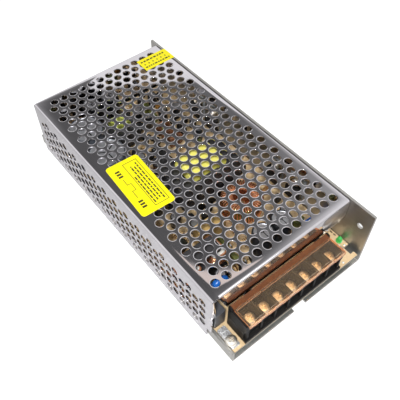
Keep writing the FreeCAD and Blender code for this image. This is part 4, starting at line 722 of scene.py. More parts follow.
def makeScrews(node, blank, places, tilt=0):
    # each place is x, y, z in mm and the turn of the recess in degrees; tilt leans all heads about y
    bm = bmesh.new()
    for x, y, z, turn in places:
        start = len(bm.verts)
        bm.from_mesh(blank)
        bm.verts.ensure_lookup_table()
        lean, spin = Matrix.Rotation(math.radians(tilt), 4, "Y"), Matrix.Rotation(math.radians(turn), 4, "Z")
        matrix = Matrix.Translation((x, y, z)) @ (lean @ spin) @ Matrix.Scale(1 / mm, 4)
        bmesh.ops.transform(bm, matrix=matrix, verts=bm.verts[start:])
    finishNode(node, bm, ["screwNickel"], "screw_steel", angle=32)


# terminal block: one black moulding with eight fins, its contacts, washers and the earth bracket

terminals = {
    "poles": 7, "pitch": 9.5, "middle": -4, "screwFromFront": 5.4, "floorRise": 9.6, "seatRise": 1.6,
    "height": 17.6, "screw": (6, 2, 3.4, 5.6), "fin": 1.6, "rearWall": 2.8, "ledge": 2.4, "ledgeInset": 0.8,
    "entryDepth": 1.5, "edge": 0.22, "earWidth": 0.9, "earRise": 2.2, "earDepth": 3.0, "earCut": 0.8,
    "earFoot": 1.6, "contactHalf": 3.75, "contactFront": 2.6, "contactBack": 11.6, "contactRound": 0.5,
    "strip": 0.6, "washerHalf": 3.3, "washerHole": 1.75, "washerRound": 0.7,
}
poleX = [terminals["middle"] + (i - terminals["poles"] // 2) * terminals["pitch"] for i in range(terminals["poles"])]
terminalY = blockLow.y + terminals["screwFromFront"]
floorZ = boardTop + terminals["floorRise"]
seatZ = floorZ + terminals["seatRise"]
turns = [random.uniform(0, 90) for _ in range(40)]
makeScrews("terminal_screws", screwBlank(*terminals["screw"]),
           [(x, terminalY, seatZ, turn) for x, turn in zip(poleX, turns)])
print("terminal screws made")


def makeTerminalBlock():
    s = terminals
    left, right = blockLow.x, blockHigh.x
    front, rear = blockLow.y, blockHigh.y
    top, ledgeTop, finFront = boardTop + s["height"], boardTop + s["ledge"], front + s["ledgeInset"]
    bm = bmesh.new()
    # base with the ledge along the front
    addPrism(bm, rectangle(left, front, right, rear), boardTop, ledgeTop)
    addPrism(bm, rectangle(left + 0.01, finFront + s["entryDepth"], right - 0.01, rear - 0.01), ledgeTop, floorZ)
    # fins stand in front of the base, with a shadowed wire entry between them
    half = s["fin"] / 2
    for x in [poleX[0] - s["pitch"] / 2] + [x + s["pitch"] / 2 for x in poleX]:
        addPrism(bm, rectangle(max(x - half, left), finFront, min(x + half, right),
                               finFront + s["entryDepth"] + 0.02), ledgeTop, floorZ)
    # comb of fins and the rear wall, drawn as one outline from above
    comb = [(left, rear), (left, finFront)]
    half = (s["pitch"] - s["fin"]) / 2
    for x in poleX:
        comb += [(x - half, finFront), (x - half, rear - s["rearWall"]), (x + half, rear - s["rearWall"]),
                 (x + half, finFront)]
    addPrism(bm, comb + [(right, finFront), (right, rear)], floorZ, top)
    earTop, earFront, cut = top + s["earRise"], rear - s["earDepth"], s["earCut"]
    ear = [(earFront, top - s["earFoot"]), (rear, top - s["earFoot"]), (rear, earTop - cut), (rear - cut, earTop),
           (earFront + cut, earTop), (earFront, earTop - cut)]
    addPrism(bm, ear, left, left + s["earWidth"], "x")
    addPrism(bm, ear, right - s["earWidth"], right, "x")
    finishNode("terminal_block", bm, ["blackNylon"], "black_plastic", bevel=s["edge"])


earth = {"pad": 0.8, "ridges": (3.0, 5.4), "ridgeWide": 1.2, "ridgeHigh": 0.35, "ridgeRound": 0.5,
         "screw": (6.2, 2, 2.9, 6.5), "turn": 20}


def makeTerminalMetal():
    s = terminals
    bm = bmesh.new()
    for x in poleX:
        addPrism(bm, rectangle(x - s["contactHalf"], blockLow.y + s["contactFront"], x + s["contactHalf"],
                               blockLow.y + s["contactBack"], s["contactRound"]), floorZ, floorZ + s["strip"])
    # the contacts take the near black finish: painted shade inside the block's cavities
    finishNode("terminal_contacts", bm, ["contactPaintedShade"], "plated_contact", bevel=0.12)
    bm = bmesh.new()
    half = s["washerHalf"]
    for x in poleX:
        outline = rectangle(x - half, terminalY - half, x + half, terminalY + half, s["washerRound"])
        addRing(bm, outline, circleFor(outline, x, terminalY, s["washerHole"]), floorZ + s["strip"], seatZ)
    finishNode("clamp_washers", bm, ["contactTin"], "plated_contact", bevel=0.15)
    s = earth
    low, high = nodeBox("earth_bracket")
    bm = bmesh.new()
    addPrism(bm, rectangle(low.x, low.y, high.x, high.y, s["pad"]), low.z, high.z)
    for y in (high.y - ridge for ridge in s["ridges"]):
        addPrism(bm, rectangle(low.x + s["pad"], y, high.x - s["pad"], y + s["ridgeWide"], s["ridgeRound"]), high.z,
                 high.z + s["ridgeHigh"])
    finishNode("earth_bracket", bm, ["solderTin"], "bright_plate", bevel=0.2)
    middle = nodeMiddle("earth_screw")
    makeScrews("earth_screw", screwBlank(*s["screw"]), [(middle.x, middle.y, high.z, s["turn"])])


makeTerminalBlock()
makeTerminalMetal()


# lid: clear amber moulding with a raised frame, a front lip with teeth and its two pins

lid = {
    "sideGap": 0.8, "rim": 1.1, "recess": 0.22, "recessEdge": 0.15, "step": 0.45, "stepRun": 0.7, "lip": 0.6,
    "lipDrop": 0.8, "toothDrop": 0.6, "toothHalf": 2.4, "thickness": 1.5, "edge": 0.12, "backBand": 3.4,
    "pinInset": 0.75, "pinRadius": 0.5, "hingeRound": 0.6, "hingeDrop": 0.08,
}


def makeLid():
    s = lid
    low, high = nodeBox("terminal_lid")
    left, right = low.x + s["sideGap"], high.x - s["sideGap"]
    front, rear, top = low.y, high.y, high.z
    under = top - s["thickness"]
    band, lipLow = rear - s["backBand"], under - s["lipDrop"]
    bm = bmesh.new()
    # one moulding: plate with a stepped front edge and a lip, drawn from the side
    addPrism(bm, [(front, lipLow), (front + s["lip"], lipLow), (front + s["lip"], under), (band, under), (band, top),
                  (front + s["stepRun"], top), (front + s["stepRun"], top - s["step"]), (front, top - s["step"])],
             left, right, "x")
    bmesh.ops.recalc_face_normals(bm, faces=bm.faces)
    plate = [face for face in bm.faces if face.normal.z > 0.9 and face.calc_area() > 200]
    bmesh.ops.inset_region(bm, faces=plate, thickness=s["rim"])
    bmesh.ops.inset_region(bm, faces=plate, thickness=s["recessEdge"], depth=-s["recess"])
    # teeth drop from the lip between the fins
    for x in poleX:
        addPrism(bm, rectangle(x - s["toothHalf"], front, x + s["toothHalf"], front + s["lip"]),
                 lipLow - s["toothDrop"], lipLow - 0.01)
    # the front and side faces take a stronger, less clear orange than the plate: a painted glow for the light the
    # edges gather
    bm.normal_update()
    for face in bm.faces:
        if face.normal.y < -0.5 or abs(face.normal.x) > 0.5:
            face.material_index = 1
    finishNode("terminal_lid", bm, ["amberClear", "amberEdgePaintedGlow"], "amber_plastic", body="terminal_lid",
               bevel=s["edge"])
    bm = bmesh.new()
    pin = circle(rear - s["pinInset"], under + s["pinInset"], s["pinRadius"], 20)
    addPrism(bm, pin, low.x, left - 0.01, "x")
    addPrism(bm, pin, right + 0.01, high.x, "x")
    addPrism(bm, rectangle(band + 0.02, under, rear, top - s["hingeDrop"], s["hingeRound"]), left, right, "x")
    finishPiece("lidHingeEdge", bm, ["amberDeep"], [], body="terminal_lid", slot="amber_plastic", bevel=0.06)


makeLid()
print("terminals and lid made")


# labels: coated paper with a thin frame and plain bars where print would be, measured from the label's middle

labels = {
    "sheet": 0.12, "ink": 0.025, "turn": -3, "corner": 2, "size": (21, 41), "frame": (-0.8, -17.6, 8.2, 17.6),
    "line": 0.32, "rows": ((-15.8, 15.2), (-14.2, 12.6), (-15.0, 13.8), (-15.8, 6.4)), "rowStart": 6.3,
    "rowPitch": 1.9, "rowHalf": 0.42, "dash": (1.2, 3.4), "gap": 0.55, "blocks": (-15.4, 9.6),
    "blockSides": (-7.2, -4.4), "blockPitch": 2.1, "blockHigh": 1.3,
    "figure": ((-6.0, -7.6, -5.68, -2.0), (-6.0, -2.3, -3.4, -2.0), (-3.7, -2.3, -3.4, 3.0),
               (-6.0, 3.0, -3.4, 3.32), (-6.0, 3.0, -5.68, 7.8)),
}
smallLabel = {
    "margin": 1.6, "rows": (2.2, 8.4), "barHigh": 1.2, "dash": (0.8, 2.4), "gap": 0.7, "lastStart": 2.6,
    "dots": 6, "firstDot": 2.4, "dotPitch": 3.3, "dotWide": 0.8, "dotRow": 5.1,
}


def dashes(start, lastStart, end, lengths, gap):
    place = start
    while place < lastStart:
        length = random.uniform(*lengths)
        yield place, min(place + length, end)
        place += length + gap


def makeLabels():
    s = labels
    low, middle = nodeBox("large_label")[0], nodeMiddle("large_label")
    width, length = s["size"]
    inkLow = s["sheet"] - s["ink"]
    bm = bmesh.new()
    addPrism(bm, rectangle(-width / 2, -length / 2, width / 2, length / 2, s["corner"], 6), 0, inkLow)
    # frame round two thirds of the label, rows of bars inside it, and two groups of blocks with a bent line
    x0, y0, x1, y1 = s["frame"]
    w = s["line"]
    bars = [(x0, y0, x1, y0 + w), (x0, y1 - w, x1, y1), (x0, y0 + w, x0 + w, y1 - w), (x1 - w, y0 + w, x1, y1 - w)]
    for i, (start, end) in enumerate(s["rows"]):
        x = s["rowStart"] - i * s["rowPitch"]
        bars += [(x - s["rowHalf"], a, x + s["rowHalf"], b) for a, b in dashes(start, end, end, s["dash"], s["gap"])]
    for y in (start + k * s["blockPitch"] for start in s["blocks"] for k in range(3)):
        bars.append((s["blockSides"][0], y, s["blockSides"][1], y + s["blockHigh"]))
    for bar in (*bars, *s["figure"]):
        addPrism(bm, rectangle(*bar), inkLow, s["sheet"], "z", 1)
    spin = Matrix.Rotation(math.radians(s["turn"]), 4, "Z")
    bmesh.ops.transform(bm, matrix=Matrix.Translation((middle.x, middle.y, low.z)) @ spin, verts=bm.verts)
    finishNode("large_label", bm, ["yellowPaper", "blackInk"], "yellow_paper")
    s = smallLabel
    low, high = nodeBox("small_label")
    inkLow = high.z - labels["ink"]
    bm = bmesh.new()
    addPrism(bm, rectangle(low.x, low.y, high.x, high.y), low.z, inkLow)
    bars = []
    for y in (low.y + row for row in s["rows"]):
        bars += [(a, y, b, y + s["barHigh"]) for a, b in dashes(
            low.x + s["margin"], high.x - s["lastStart"], high.x - s["margin"], s["dash"], s["gap"])]
    for x in (low.x + s["firstDot"] + i * s["dotPitch"] for i in range(s["dots"])):
        bars.append((x, low.y + s["dotRow"], x + s["dotWide"], low.y + s["dotRow"] + s["barHigh"]))
    for bar in bars:
        addPrism(bm, rectangle(*bar), inkLow, high.z, "z", 1)
    finishNode("small_label", bm, ["yellowPaper", "blackInk"], "yellow_paper")


makeLabels()
print("labels made")


# parts that stand on the board, seen through the mesh and the open front

# cans: diameter, number, sleeve and slot; the bare top carries three thin black strips, painted shade for the three
# pressed grooves of its vent
cans = {
    "bulk_capacitor_front": (22, 1, "greySleeve", "grey_can"),
    "bulk_capacitor_rear": (22, 1, "greySleeve", "grey_can"),
    "output_capacitors": (12.5, 2, "blackSleeve", "black_sleeve_can"),
    "rear_capacitors": (12.5, 2, "blackSleeve", "black_sleeve_can"),
}
vent = {"first": 30, "arms": 3, "length": 0.62, "half": 0.02, "low": 0.52, "high": 0.44}


def makeCans():
    for node, (diameter, count, sleeve, slot) in cans.items():
        low, high = nodeBox(node)
        r, bottom, top, y = diameter / 2, low.z, high.z, (low.y + high.y) / 2
        sink, wide = r - 1, vent["half"] * diameter
        profile = [(0, bottom), (r - 0.5, bottom), (r - 0.1, bottom + 0.3), (r, bottom + 1), (r, bottom + 2.2),
                   (r - 0.35, bottom + 2.8), (r, bottom + 3.4), (r, top - 0.7), (r - 0.15, top - 0.25),
                   (r - 0.5, top), (sink, top - 0.08), (sink, top - 0.5), (sink - 0.3, top - 0.5), (0, top - 0.5)]
        bm = bmesh.new()
        for x in (low.x + r, high.x - r)[:count]:
            addLathe(bm, profile, (x, y), "z", 48, [0] * 10 + [1] * 3)
            # each vent groove is a thin black strip standing a little above the top: painted shade of the pressed
            # crease
            for arm in range(vent["arms"]):
                ventShadeStrip = rectangle(0, -wide, r * vent["length"], wide)
                angle = math.radians(vent["first"] + 360 / vent["arms"] * arm)
                addPrism(bm, turned(ventShadeStrip, angle, x, y), top - vent["low"], top - vent["high"], "z", 2)
        finishPiece(node.replace("_", "-"), bm, [sleeve, "canTop", "blackEpoxy"], [node], slot=slot, angle=40)


# choke: painted ring with two layers of thick wire
choke = {"hole": 4.5, "wire": 0.62, "edge": 1.4, "turns": 46, "layer": 0.9, "lean": 0.1, "share": 0.6, "round": 2.0}


def makeChoke():
    s = choke
    low, high = nodeBox("choke_winding")
    middle = (low + high) / 2
    hole, wire, e = s["hole"], s["wire"], s["edge"]
    outer = (high.x - low.x) / 2
    a, b, c, d = hole + wire * 2, outer - wire * 2, low.z + wire * 2, high.z - wire * 2
    bm = bmesh.new()
    addLathe(bm, [(a, c + e), (a + e, c), (b - e, c), (b, c + e), (b, d - e), (b - e, d), (a + e, d), (a, d - e),
                  (a, c + e)], (middle.x, middle.y), "z", 48, [1] * 8)
    for i in range(s["turns"]):
        start = math.tau * i / s["turns"]
        layer = wire * s["layer"] * (i % 2)
        path = []
        for u, v in rectangle(hole + wire + layer * 0.9, low.z + wire, outer - wire, high.z - wire - layer * 0.2,
                              s["round"], 3):
            lean = (v - low.z) / (high.z - low.z) * s["lean"]
            t = start + (lean if u < (hole + outer) / 2 else -lean) * s["share"]
            path.append((middle.x + u * math.cos(t), middle.y + u * math.sin(t), v))
        addTube(bm, path, wire, 7, True, 0)
    finishPiece("outputChoke", bm, ["copperWire", "ringPaint"], ["choke_winding"], slot="enamelled_wire", angle=60)


# transformers: taped windings between ground ferrite halves; wraps are the lengths of the last two turns of tape
transformers = {
    "transformer": {"tape": "yellowTape", "leg": 13, "window": 26, "depth": 17},
    "driver": {"tape": "greenTape", "leg": 5, "window": 12, "depth": 10},
}
tape = {"wraps": (6.2, 7.4), "thick": 0.12, "gap": 0.2, "round": 2.2, "joint": 0.06}


def makeTransformers():
    for prefix, s in transformers.items():
        low, high = nodeBox(prefix + "_winding")
        coreLow, coreHigh = nodeBox(prefix + "_core")
        x, reach, gap, r = (low.x + high.x) / 2, s["leg"] / 2 + tape["gap"], tape["gap"], tape["round"]
        bm = bmesh.new()
        hole = rectangle(x - reach, coreLow.z - gap, x + reach, coreHigh.z + gap, 0.3, 3)
        outer = rectangle(low.x + 0.1, low.z, high.x - 0.1, high.z - 0.15, r, 3)
        addRing(bm, outer, hole, low.y + 0.1, high.y - 0.1, "y")
        # last wraps of tape, one over the other
        under = rectangle(low.x + tape["thick"], low.z + 0.3, high.x - tape["thick"], high.z - 0.2, r, 3)
        for k, (y0, y1) in enumerate(((low.y, low.y + tape["wraps"][0]), (high.y - tape["wraps"][1], high.y))):
            wrap = rectangle(low.x, low.z + 0.2, high.x, high.z - 0.06 * k, r + 0.1, 3)
            addRing(bm, wrap, under, y0, y1, "y")
        finishPiece(prefix + "-winding", bm, [s["tape"]], [prefix + "_winding"], slot="yellow_tape", bevel=0.1,
                    angle=30)
    for prefix, s in transformers.items():
        low, high = nodeBox(prefix + "_core")
        x, y = (low.x + high.x) / 2, (low.y + high.y) / 2
        leg, half, yoke = s["leg"] / 2, s["window"] / 2, (high.y - low.y - s["depth"]) / 2
        bm = bmesh.new()
        joint = tape["joint"]
        for back, face, inner in ((low.y, y - joint, low.y + yoke), (high.y, y + joint, high.y - yoke)):
            addPrism(bm, [(low.x, back), (low.x, face), (x - half, face), (x - half, inner), (x - leg, inner),
                          (x - leg, face), (x + leg, face), (x + leg, inner), (x + half, inner), (x + half, face),
                          (high.x, face), (high.x, back)], low.z, high.z)
        finishPiece(prefix + "-core", bm, ["ferrite"], [prefix + "_core"], slot="ferrite", bevel=0.35, angle=30)


# power resistors: half of the dumbbell outline with the painted bands, and bent leads
resistors = {
    "count": 5, "pitch": 6.4, "lead": 0.32, "length": 10,
    "bands": [0, 0, 0, 1, 0, 0, 1, 0, 1, 0, 2, 0, 0, 3, 0, 0, 0],
    "bend": ((0, 0), (0.7, 0), (1.1, -0.35), (1.2, -0.9)),
}


def makeResistors():
    s = resistors
    low, high = nodeBox("power_resistors")
    r = (high.z - low.z) / 2
    z = low.z + r
    profile = [(0, 0), (1.1, 0), (1.6, 0.35), (r, 1.0), (r, 1.9), (1.55, 2.5),
               *[(1.5, w) for w in (3.0, 3.8, 4.5, 5.3, 6.0, 6.8)],
               (1.55, 7.5), (r, 8.1), (r, 9.0), (1.6, 9.65), (1.1, s["length"]), (0, s["length"])]
    bm = bmesh.new()
    for i in range(s["count"]):
        y = low.y + r + i * s["pitch"]
        addLathe(bm, [(a, low.x + w) for a, w in profile], (y, z), "x", 28, s["bands"])
        for start, step in ((low.x + 0.2, -1), (high.x - 0.2, 1)):
            path = [(start + step * u, y, z + v) for u, v in s["bend"]]
            addTube(bm, [*path, (start + step * s["bend"][-1][0], y, boardTop - 0.1)], s["lead"], 8, False, 4)
    finishNode("power_resistors", bm, ["resistorPaint", "bandBrown", "blackEpoxy", "canTop", "contactTin"],
               "resistor_coating", angle=45)


# dipped parts: three film capacitors in a row, and two discs on their legs
filmCans = {"count": 3, "pitch": 7, "thick": (0.1, 3.9), "lift": 0.6, "round": 1.8, "legInset": 2.5, "leg": 0.35}
discs = {"shape": ((0, 1), (0.55, 0.97), (0.82, 0.82), (0.96, 0.45)), "legHalf": 3.75, "leg": 0.4, "coat": 0.85}


def lens(r, t, shape):
    # a bulging disc seen from the side; shape holds shares of the radius and of half the thickness
    half = [(r * a, -t * b) for a, b in shape]
    return [*half, (r, 0), *[(a, -b) for a, b in reversed(half)]]


def makeDipped():
    s = filmCans
    low, high = nodeBox("film_capacitors")
    bm = bmesh.new()
    for y in (low.y + i * s["pitch"] for i in range(s["count"])):
        outline = rectangle(low.x, boardTop + s["lift"], high.x, high.z, s["round"], 5)
        addPrism(bm, outline, y + s["thick"][0], y + s["thick"][1], "y")
        for x in (low.x + s["legInset"], high.x - s["legInset"]):
            addPin(bm, x, y + 2, boardTop + 1.2, s["leg"])
    finishNode("film_capacitors", bm, ["redDip", "contactTin"], "red_coating", bevel=0.9, segments=3)
    s = discs
    for node, finish, slot in (("blue_disc_capacitor", "blueDip", "blue_coating"),
                               ("inrush_thermistor", "darkDip", "dark_coating")):
        low, high = nodeBox(node)
        r, x, y = (high.x - low.x) / 2, (low.x + high.x) / 2, (low.y + high.y) / 2
        z = high.z - r
        bm = bmesh.new()
        addLathe(bm, [(a, y + w) for a, w in lens(r, (high.y - low.y) / 2, s["shape"])], (x, z), "y", 40)
        for legX in (x - s["legHalf"], x + s["legHalf"]):
            addPin(bm, legX, y, z - r * 0.5, s["leg"])
            addTube(bm, [(legX, y, z - r * 0.98), (legX, y, z - r * 0.4)], s["coat"], 10, False, 0)
        finishNode(node, bm, [finish, "contactTin"], slot, angle=50)


# line filter: two wire windings on their white formers round a ferrite frame
lineFilter = {
    "wire": 0.52, "spacing": 2.04, "sway": 0.06, "limb": 2.25, "former": (4.1, 6.35, 1.4), "hole": (2.45, 4.7, 0.2),
    "winding": (4.65, 6.9, 2.0), "frame": 4.5,
}


def aroundPoint(x, y, halfX, halfY, radius, steps, sway=0.0):
    return rectangle(x - halfX + sway, y - halfY, x + halfX + sway, y + halfY, radius, steps)


def makeLineFilter():
    s = lineFilter
    low, high = nodeBox("line_filter_windings")
    coreLow, coreHigh = nodeBox("line_filter_core")
    y, wire = (coreLow.y + coreHigh.y) / 2, s["wire"]
    bm = bmesh.new()
    for x in (coreLow.x + s["limb"], coreHigh.x - s["limb"]):
        addRing(bm, aroundPoint(x, y, *s["former"], 3), aroundPoint(x, y, *s["hole"], 3), low.z, high.z, "z", 1)
        for k in range(int((high.z - low.z - wire * 2) / (wire * s["spacing"])) + 1):
            z = low.z + wire + k * wire * s["spacing"]
            loop = aroundPoint(x, y, *s["winding"], 4, random.uniform(-s["sway"], s["sway"]))
            addTube(bm, [(u, v, z) for u, v in loop], wire, 7, True, 0)
    finishNode("line_filter_windings", bm, ["copperWire", "whitePlastic"], "enamelled_wire", angle=60)
    bm = bmesh.new()
    wide = s["frame"]
    outer = rectangle(coreLow.x, coreLow.z, coreHigh.x, coreHigh.z, 1.2, 3)
    inner = rectangle(coreLow.x + wide, coreLow.z + wide, coreHigh.x - wide, coreHigh.z - wide, 0.6, 3)
    addRing(bm, outer, inner, coreLow.y, coreHigh.y, "y")
    finishNode("line_filter_core", bm, ["ferrite"], "ferrite", bevel=0.4)


# moulded boxes on feet, the bridge rectifier and the control chip with its pins
boxes = {
    "box_capacitor": ("yellowFilm", "yellow_plastic", 0.5), "input_filter_block": ("greyBlock", "blue_plastic", 0.6),
    "line_filter_foot": ("blackNylon", "black_plastic", 0.3),
}
bridge = {"lift": 2.5, "cut": 3, "legs": 4, "legPitch": 5, "legHalf": (0.5, 0.4)}
chip = {"half": 3.2, "waist": 1.6, "height": 3.4, "pins": 8, "pinPitch": 2.54, "pin": 0.28, "mark": (2.0, 1.6, 0.5)}


def makeBoxes():
    for node, (finish, slot, edge) in boxes.items():
        low, high = nodeBox(node)
        bm = bmesh.new()
        addPrism(bm, rectangle(low.x, low.y, high.x, high.y, edge, 3), low.z + 0.4, high.z)
        for x in (low.x + 0.8, high.x - 2.0):
            for y in (low.y + 0.8, high.y - 2.0):
                addPrism(bm, rectangle(x, y, x + 1.2, y + 1.2), low.z, low.z + 0.5)
        finishNode(node, bm, [finish], slot, bevel=edge * 0.6)
    s = bridge
    low, high = nodeBox("bridge_rectifier")
    bm = bmesh.new()
    base, cut, y = boardTop + s["lift"], s["cut"], (low.y + high.y) / 2
    addPrism(bm, [(low.x, base), (high.x, base), (high.x, high.z - cut), (high.x - cut, high.z), (low.x, high.z)],
             low.y, high.y, "y")
    wide, deep = s["legHalf"]
    for k in range(s["legs"]):
        x = (low.x + high.x) / 2 + (k - 1.5) * s["legPitch"]
        addBox(bm, (x - wide, y - deep, boardTop), (x + wide, y + deep, base), 1)
    finishNode("bridge_rectifier", bm, ["blackEpoxy", "contactTin"], "black_plastic", bevel=0.3)
    s = chip
    low, high = nodeBox("control_chip")
    bm = bmesh.new()
    x, y, half = (low.x + high.x) / 2, (low.y + high.y) / 2, s["half"]
    waist = high.z - s["waist"]
    addPrism(bm, rectangle(x - half, low.y, x + half, high.y), high.z - s["height"], waist, taper=0.97)
    addPrism(bm, rectangle(x - half + 0.1, low.y + 0.1, x + half - 0.1, high.y - 0.1), waist, high.z)
    left, back, radius = s["mark"]
    addPrism(bm, circle(x - left, high.y - back, radius, 16), high.z, high.z + 0.02, "z", 2)
    for pinY in (y + (k - 3.5) * s["pinPitch"] for k in range(s["pins"])):
        for side in (-1, 1):
            edge = x + half * side
            path = [(edge + u * side, pinY, high.z - v) for u, v in ((-0.3, 1.9), (0.3, 1.9), (0.38, 2.4))]
            addTube(bm, [*path, (edge + 0.38 * side, pinY, boardTop)], s["pin"], 6, False, 1)
    finishNode("control_chip", bm, ["blackEpoxy", "contactTin", "greyPad"], "black_plastic", bevel=0.12)


# fuse: glass tube, two pressed caps and the wire inside
fuse = {"cap": 4.6, "round": 0.35, "glassInset": 0.4, "glassGap": 0.25, "wire": 0.14, "wireInset": 4}


def makeFuse():
    s = fuse
    low, high = nodeBox("fuse")
    x, z = (low.x + high.x) / 2, (low.z + high.z) / 2
    r, start, end = (high.x - low.x) / 2, low.y + s["glassInset"], high.y - s["glassInset"]
    bm = bmesh.new()
    tube = r - s["glassGap"]
    addLathe(bm, [(0, start), (tube, start), (tube, end), (0, end)], (x, z), "y", 32)
    for y0, inward in ((low.y, 1), (high.y, -1)):
        y1, y2 = y0 + s["round"] * inward, y0 + s["cap"] * inward
        addLathe(bm, [(0, y0), (r - 0.5, y0), (r, y1), (r, y2), (r - 0.2, y2)], (x, z), "y", 32, [1] * 4)
    addTube(bm, [(x, low.y + s["wireInset"], z), (x, high.y - s["wireInset"], z + 0.3)], s["wire"], 6, False, 2)
    finishNode("fuse", bm, ["fuseGlass", "contactTin", "copperWire"], "fuse_glass", angle=40)


# power devices against the right wall: moulded body, metal tab and three legs
devices = {"width": 10.2, "bodyLow": 4, "bodyHigh": 13, "tabLow": 5, "tab": 1.3, "cut": 1.2, "legPitch": 2.54}


def makePowerDevices():
    s = devices
    bottom, top, cut = boardTop + s["bodyLow"], boardTop + s["bodyHigh"], s["cut"]
    for node in ("output_rectifiers", "switching_transistors"):
        low, high = nodeBox(node)
        bm = bmesh.new()
        face = high.x - 0.05
        for y0 in (low.y, high.y - s["width"]):
            y1 = y0 + s["width"]
            addPrism(bm, [(low.x, bottom), (face, bottom), (face, top), (low.x + 0.5, top), (low.x, top - cut)],
                     y0 + 0.1, y1 - 0.1, "y")
            addPrism(bm, [(y0, boardTop + s["tabLow"]), (y1, boardTop + s["tabLow"]), (y1, high.z - cut),
                          (y1 - cut, high.z), (y0 + cut, high.z), (y0, high.z - cut)], high.x - s["tab"], high.x,
                     "x", 1)
            x = high.x - 2.25
            for y in ((y0 + y1) / 2 + k * s["legPitch"] for k in (-1, 0, 1)):
                addBox(bm, (x - 0.3, y - 0.4, boardTop), (x + 0.3, y + 0.4, bottom), 1)
        finishNode(node, bm, ["blackEpoxy", "contactTin"], "black_plastic", bevel=0.18)


# small screws: head, height, shank and, for the board, length; rows are places along y
smallScrews = {
    "board": (5.4, 2, 2.9, 6), "boardInset": 3.2, "boardRows": (-21.7, -1.7), "boardEnd": 5,
    "device": (5.2, 1.8, 2.9), "deviceRows": (-47.7, -30.7, 28.3, 45.3), "deviceTurn": 25,
    "wall": (5.4, 1.5, 2.9), "wallRows": (-63.7, 4.3, 72.3), "wallTurn": 40,
}


def makeSmallScrews():
    s = smallScrews
    left, right, rear = boardLow.x + s["boardInset"], boardHigh.x - s["boardInset"], boardHigh.y - s["boardEnd"]
    corners = ((left, s["boardRows"][0]), (right, s["boardRows"][1]), (left, rear), (right, rear))
    makeScrews("board_screws", screwBlank(*s["board"]),
               [(x, y, boardTop, turn) for (x, y), turn in zip(corners, turns)])
    low, high = nodeBox("device_screws")
    head = s["device"][1]
    makeScrews("device_screws", screwBlank(*s["device"], high.x - low.x - head - 0.1),
               [(low.x + head, y, (low.z + high.z) / 2, s["deviceTurn"] + y) for y in s["deviceRows"]], -90)
    low, high = nodeBox("case_screws")
    makeScrews("case_screws", screwBlank(*s["wall"], high.x - low.x, 0.6, True),
               [(high.x, y, (low.z + high.z) / 2, s["wallTurn"] + y) for y in s["wallRows"]], 90)


# indicator and output trimmer, whose slotted rotor turns in its cup
indicator = {
    "foot": ((0, 0), (1.9, 0), (1.9, 0.9), (1.5, 1.0)),
    "dome": ((1.5, 1.5), (1.45, 1.1), (1.28, 0.7), (1.0, 0.38), (0.6, 0.12), (0, 0)),
}
trimmer = {
    "cup": 2.1, "seat": 2.3, "depth": 1.5, "rotor": 2.0, "slotDepth": 0.6, "slotHalf": 0.35, "wing": (1.65, 1.95),
}


def makeIndicator():
    low, high = nodeBox("indicator_led")
    profile = [(r, low.z + w) for r, w in indicator["foot"]] + [(r, high.z - w) for r, w in indicator["dome"]]
    bm = bmesh.new()
    addLathe(bm, profile, ((low.x + high.x) / 2, (low.y + high.y) / 2), "z", 32)
    finishNode("indicator_led", bm, ["greenLens"], "green_lens", angle=50)


def makeTrimmer():
    s = trimmer
    low, high = nodeBox("trimmer_body")
    bm = bmesh.new()
    x, y = (low.x + high.x) / 2, (low.y + high.y) / 2
    outer = rectangle(low.x, low.y, high.x, high.y, 0.6, 5)
    addRing(bm, outer, circleFor(outer, x, y, s["cup"]), low.z, high.z)
    addPrism(bm, circle(x, y, s["seat"], 24), low.z, high.z - s["depth"])
    finishNode("trimmer_body", bm, ["bluePlastic"], "blue_plastic", bevel=0.2)
    low, high = nodeBox("trimmer_rotor")
    bm = bmesh.new()
    slot, (wide, tall) = s["slotHalf"], s["wing"]
    angles = [math.pi * (k / 16 - 0.5) for k in range(1, 16)]
    for side in (-1, 1):
        half = [(x + slot * side, y - tall), *[(x + side * (slot + wide * math.cos(t)), y + tall * math.sin(t))
                                               for t in angles], (x + slot * side, y + tall)]
        addPrism(bm, half, high.z - s["slotDepth"], high.z)
    addPrism(bm, circle(x, y, s["rotor"], 28), low.z, high.z - s["slotDepth"])
    finishNode("trimmer_rotor", bm, ["whitePlastic"], "white_plastic", body="trimmer_rotor", bevel=0.08)


for makeOne in (makeCans, makeChoke, makeTransformers, makeResistors, makeDipped, makeLineFilter, makeBoxes,
                makeFuse, makePowerDevices, makeSmallScrews, makeIndicator, makeTrimmer):
    makeOne()
print("inner parts made")


# small parts that fill the free places of the board, set down by a seeded search

bits = {
    "clear": 0.35, "tries": 6000, "seed": 11, "margins": (2, 8, 3, 2), "corner": 1.5,
    "order": ("coil", "can", "block", "can", "signal", "diode", "can", "disc", "can", "signal", "block", "resistor"),
    "flat": ("resistor", "signal", "diode"),
    "above": ("chassis", "cover", "circuit_board", "insulating_sheet", "standoffs", "large_label", "small_label",
              "terminal_lid"),
    "scattered": ("output_capacitors", "rear_capacitors", "power_resistors", "film_capacitors", "board_screws",
                  "device_screws", "output_rectifiers", "switching_transistors", "insulating_pads",
                  "line_filter_windings", "case_screws"),
}
# for each kind the room it takes, the name of its piece and the materials
bitKinds = {
    "can": ((6.5, 6.5), "smallElectrolytics", ["blackSleeve", "canTop"]),
    "disc": ((7.2, 3.2), "ceramicDiscs", ["tanDip", "contactTin"]),
    "resistor": ((9.6, 2.8), "filmResistors", ["resistorPaint", "bandBrown", "contactTin"]),
    "diode": ((8.4, 3.0), "rectifierDiodes", ["blackEpoxy", "canTop", "contactTin"]),
    "coil": ((8.4, 8.4), "drumCoils", ["ferrite", "copperWire"]),
    "signal": ((5.2, 4.2), "signalTransistors", ["blackEpoxy", "contactTin"]),
    "block": ((7.4, 3.4), "smallFilmCapacitors", ["oliveFilm", "contactTin"]),
}


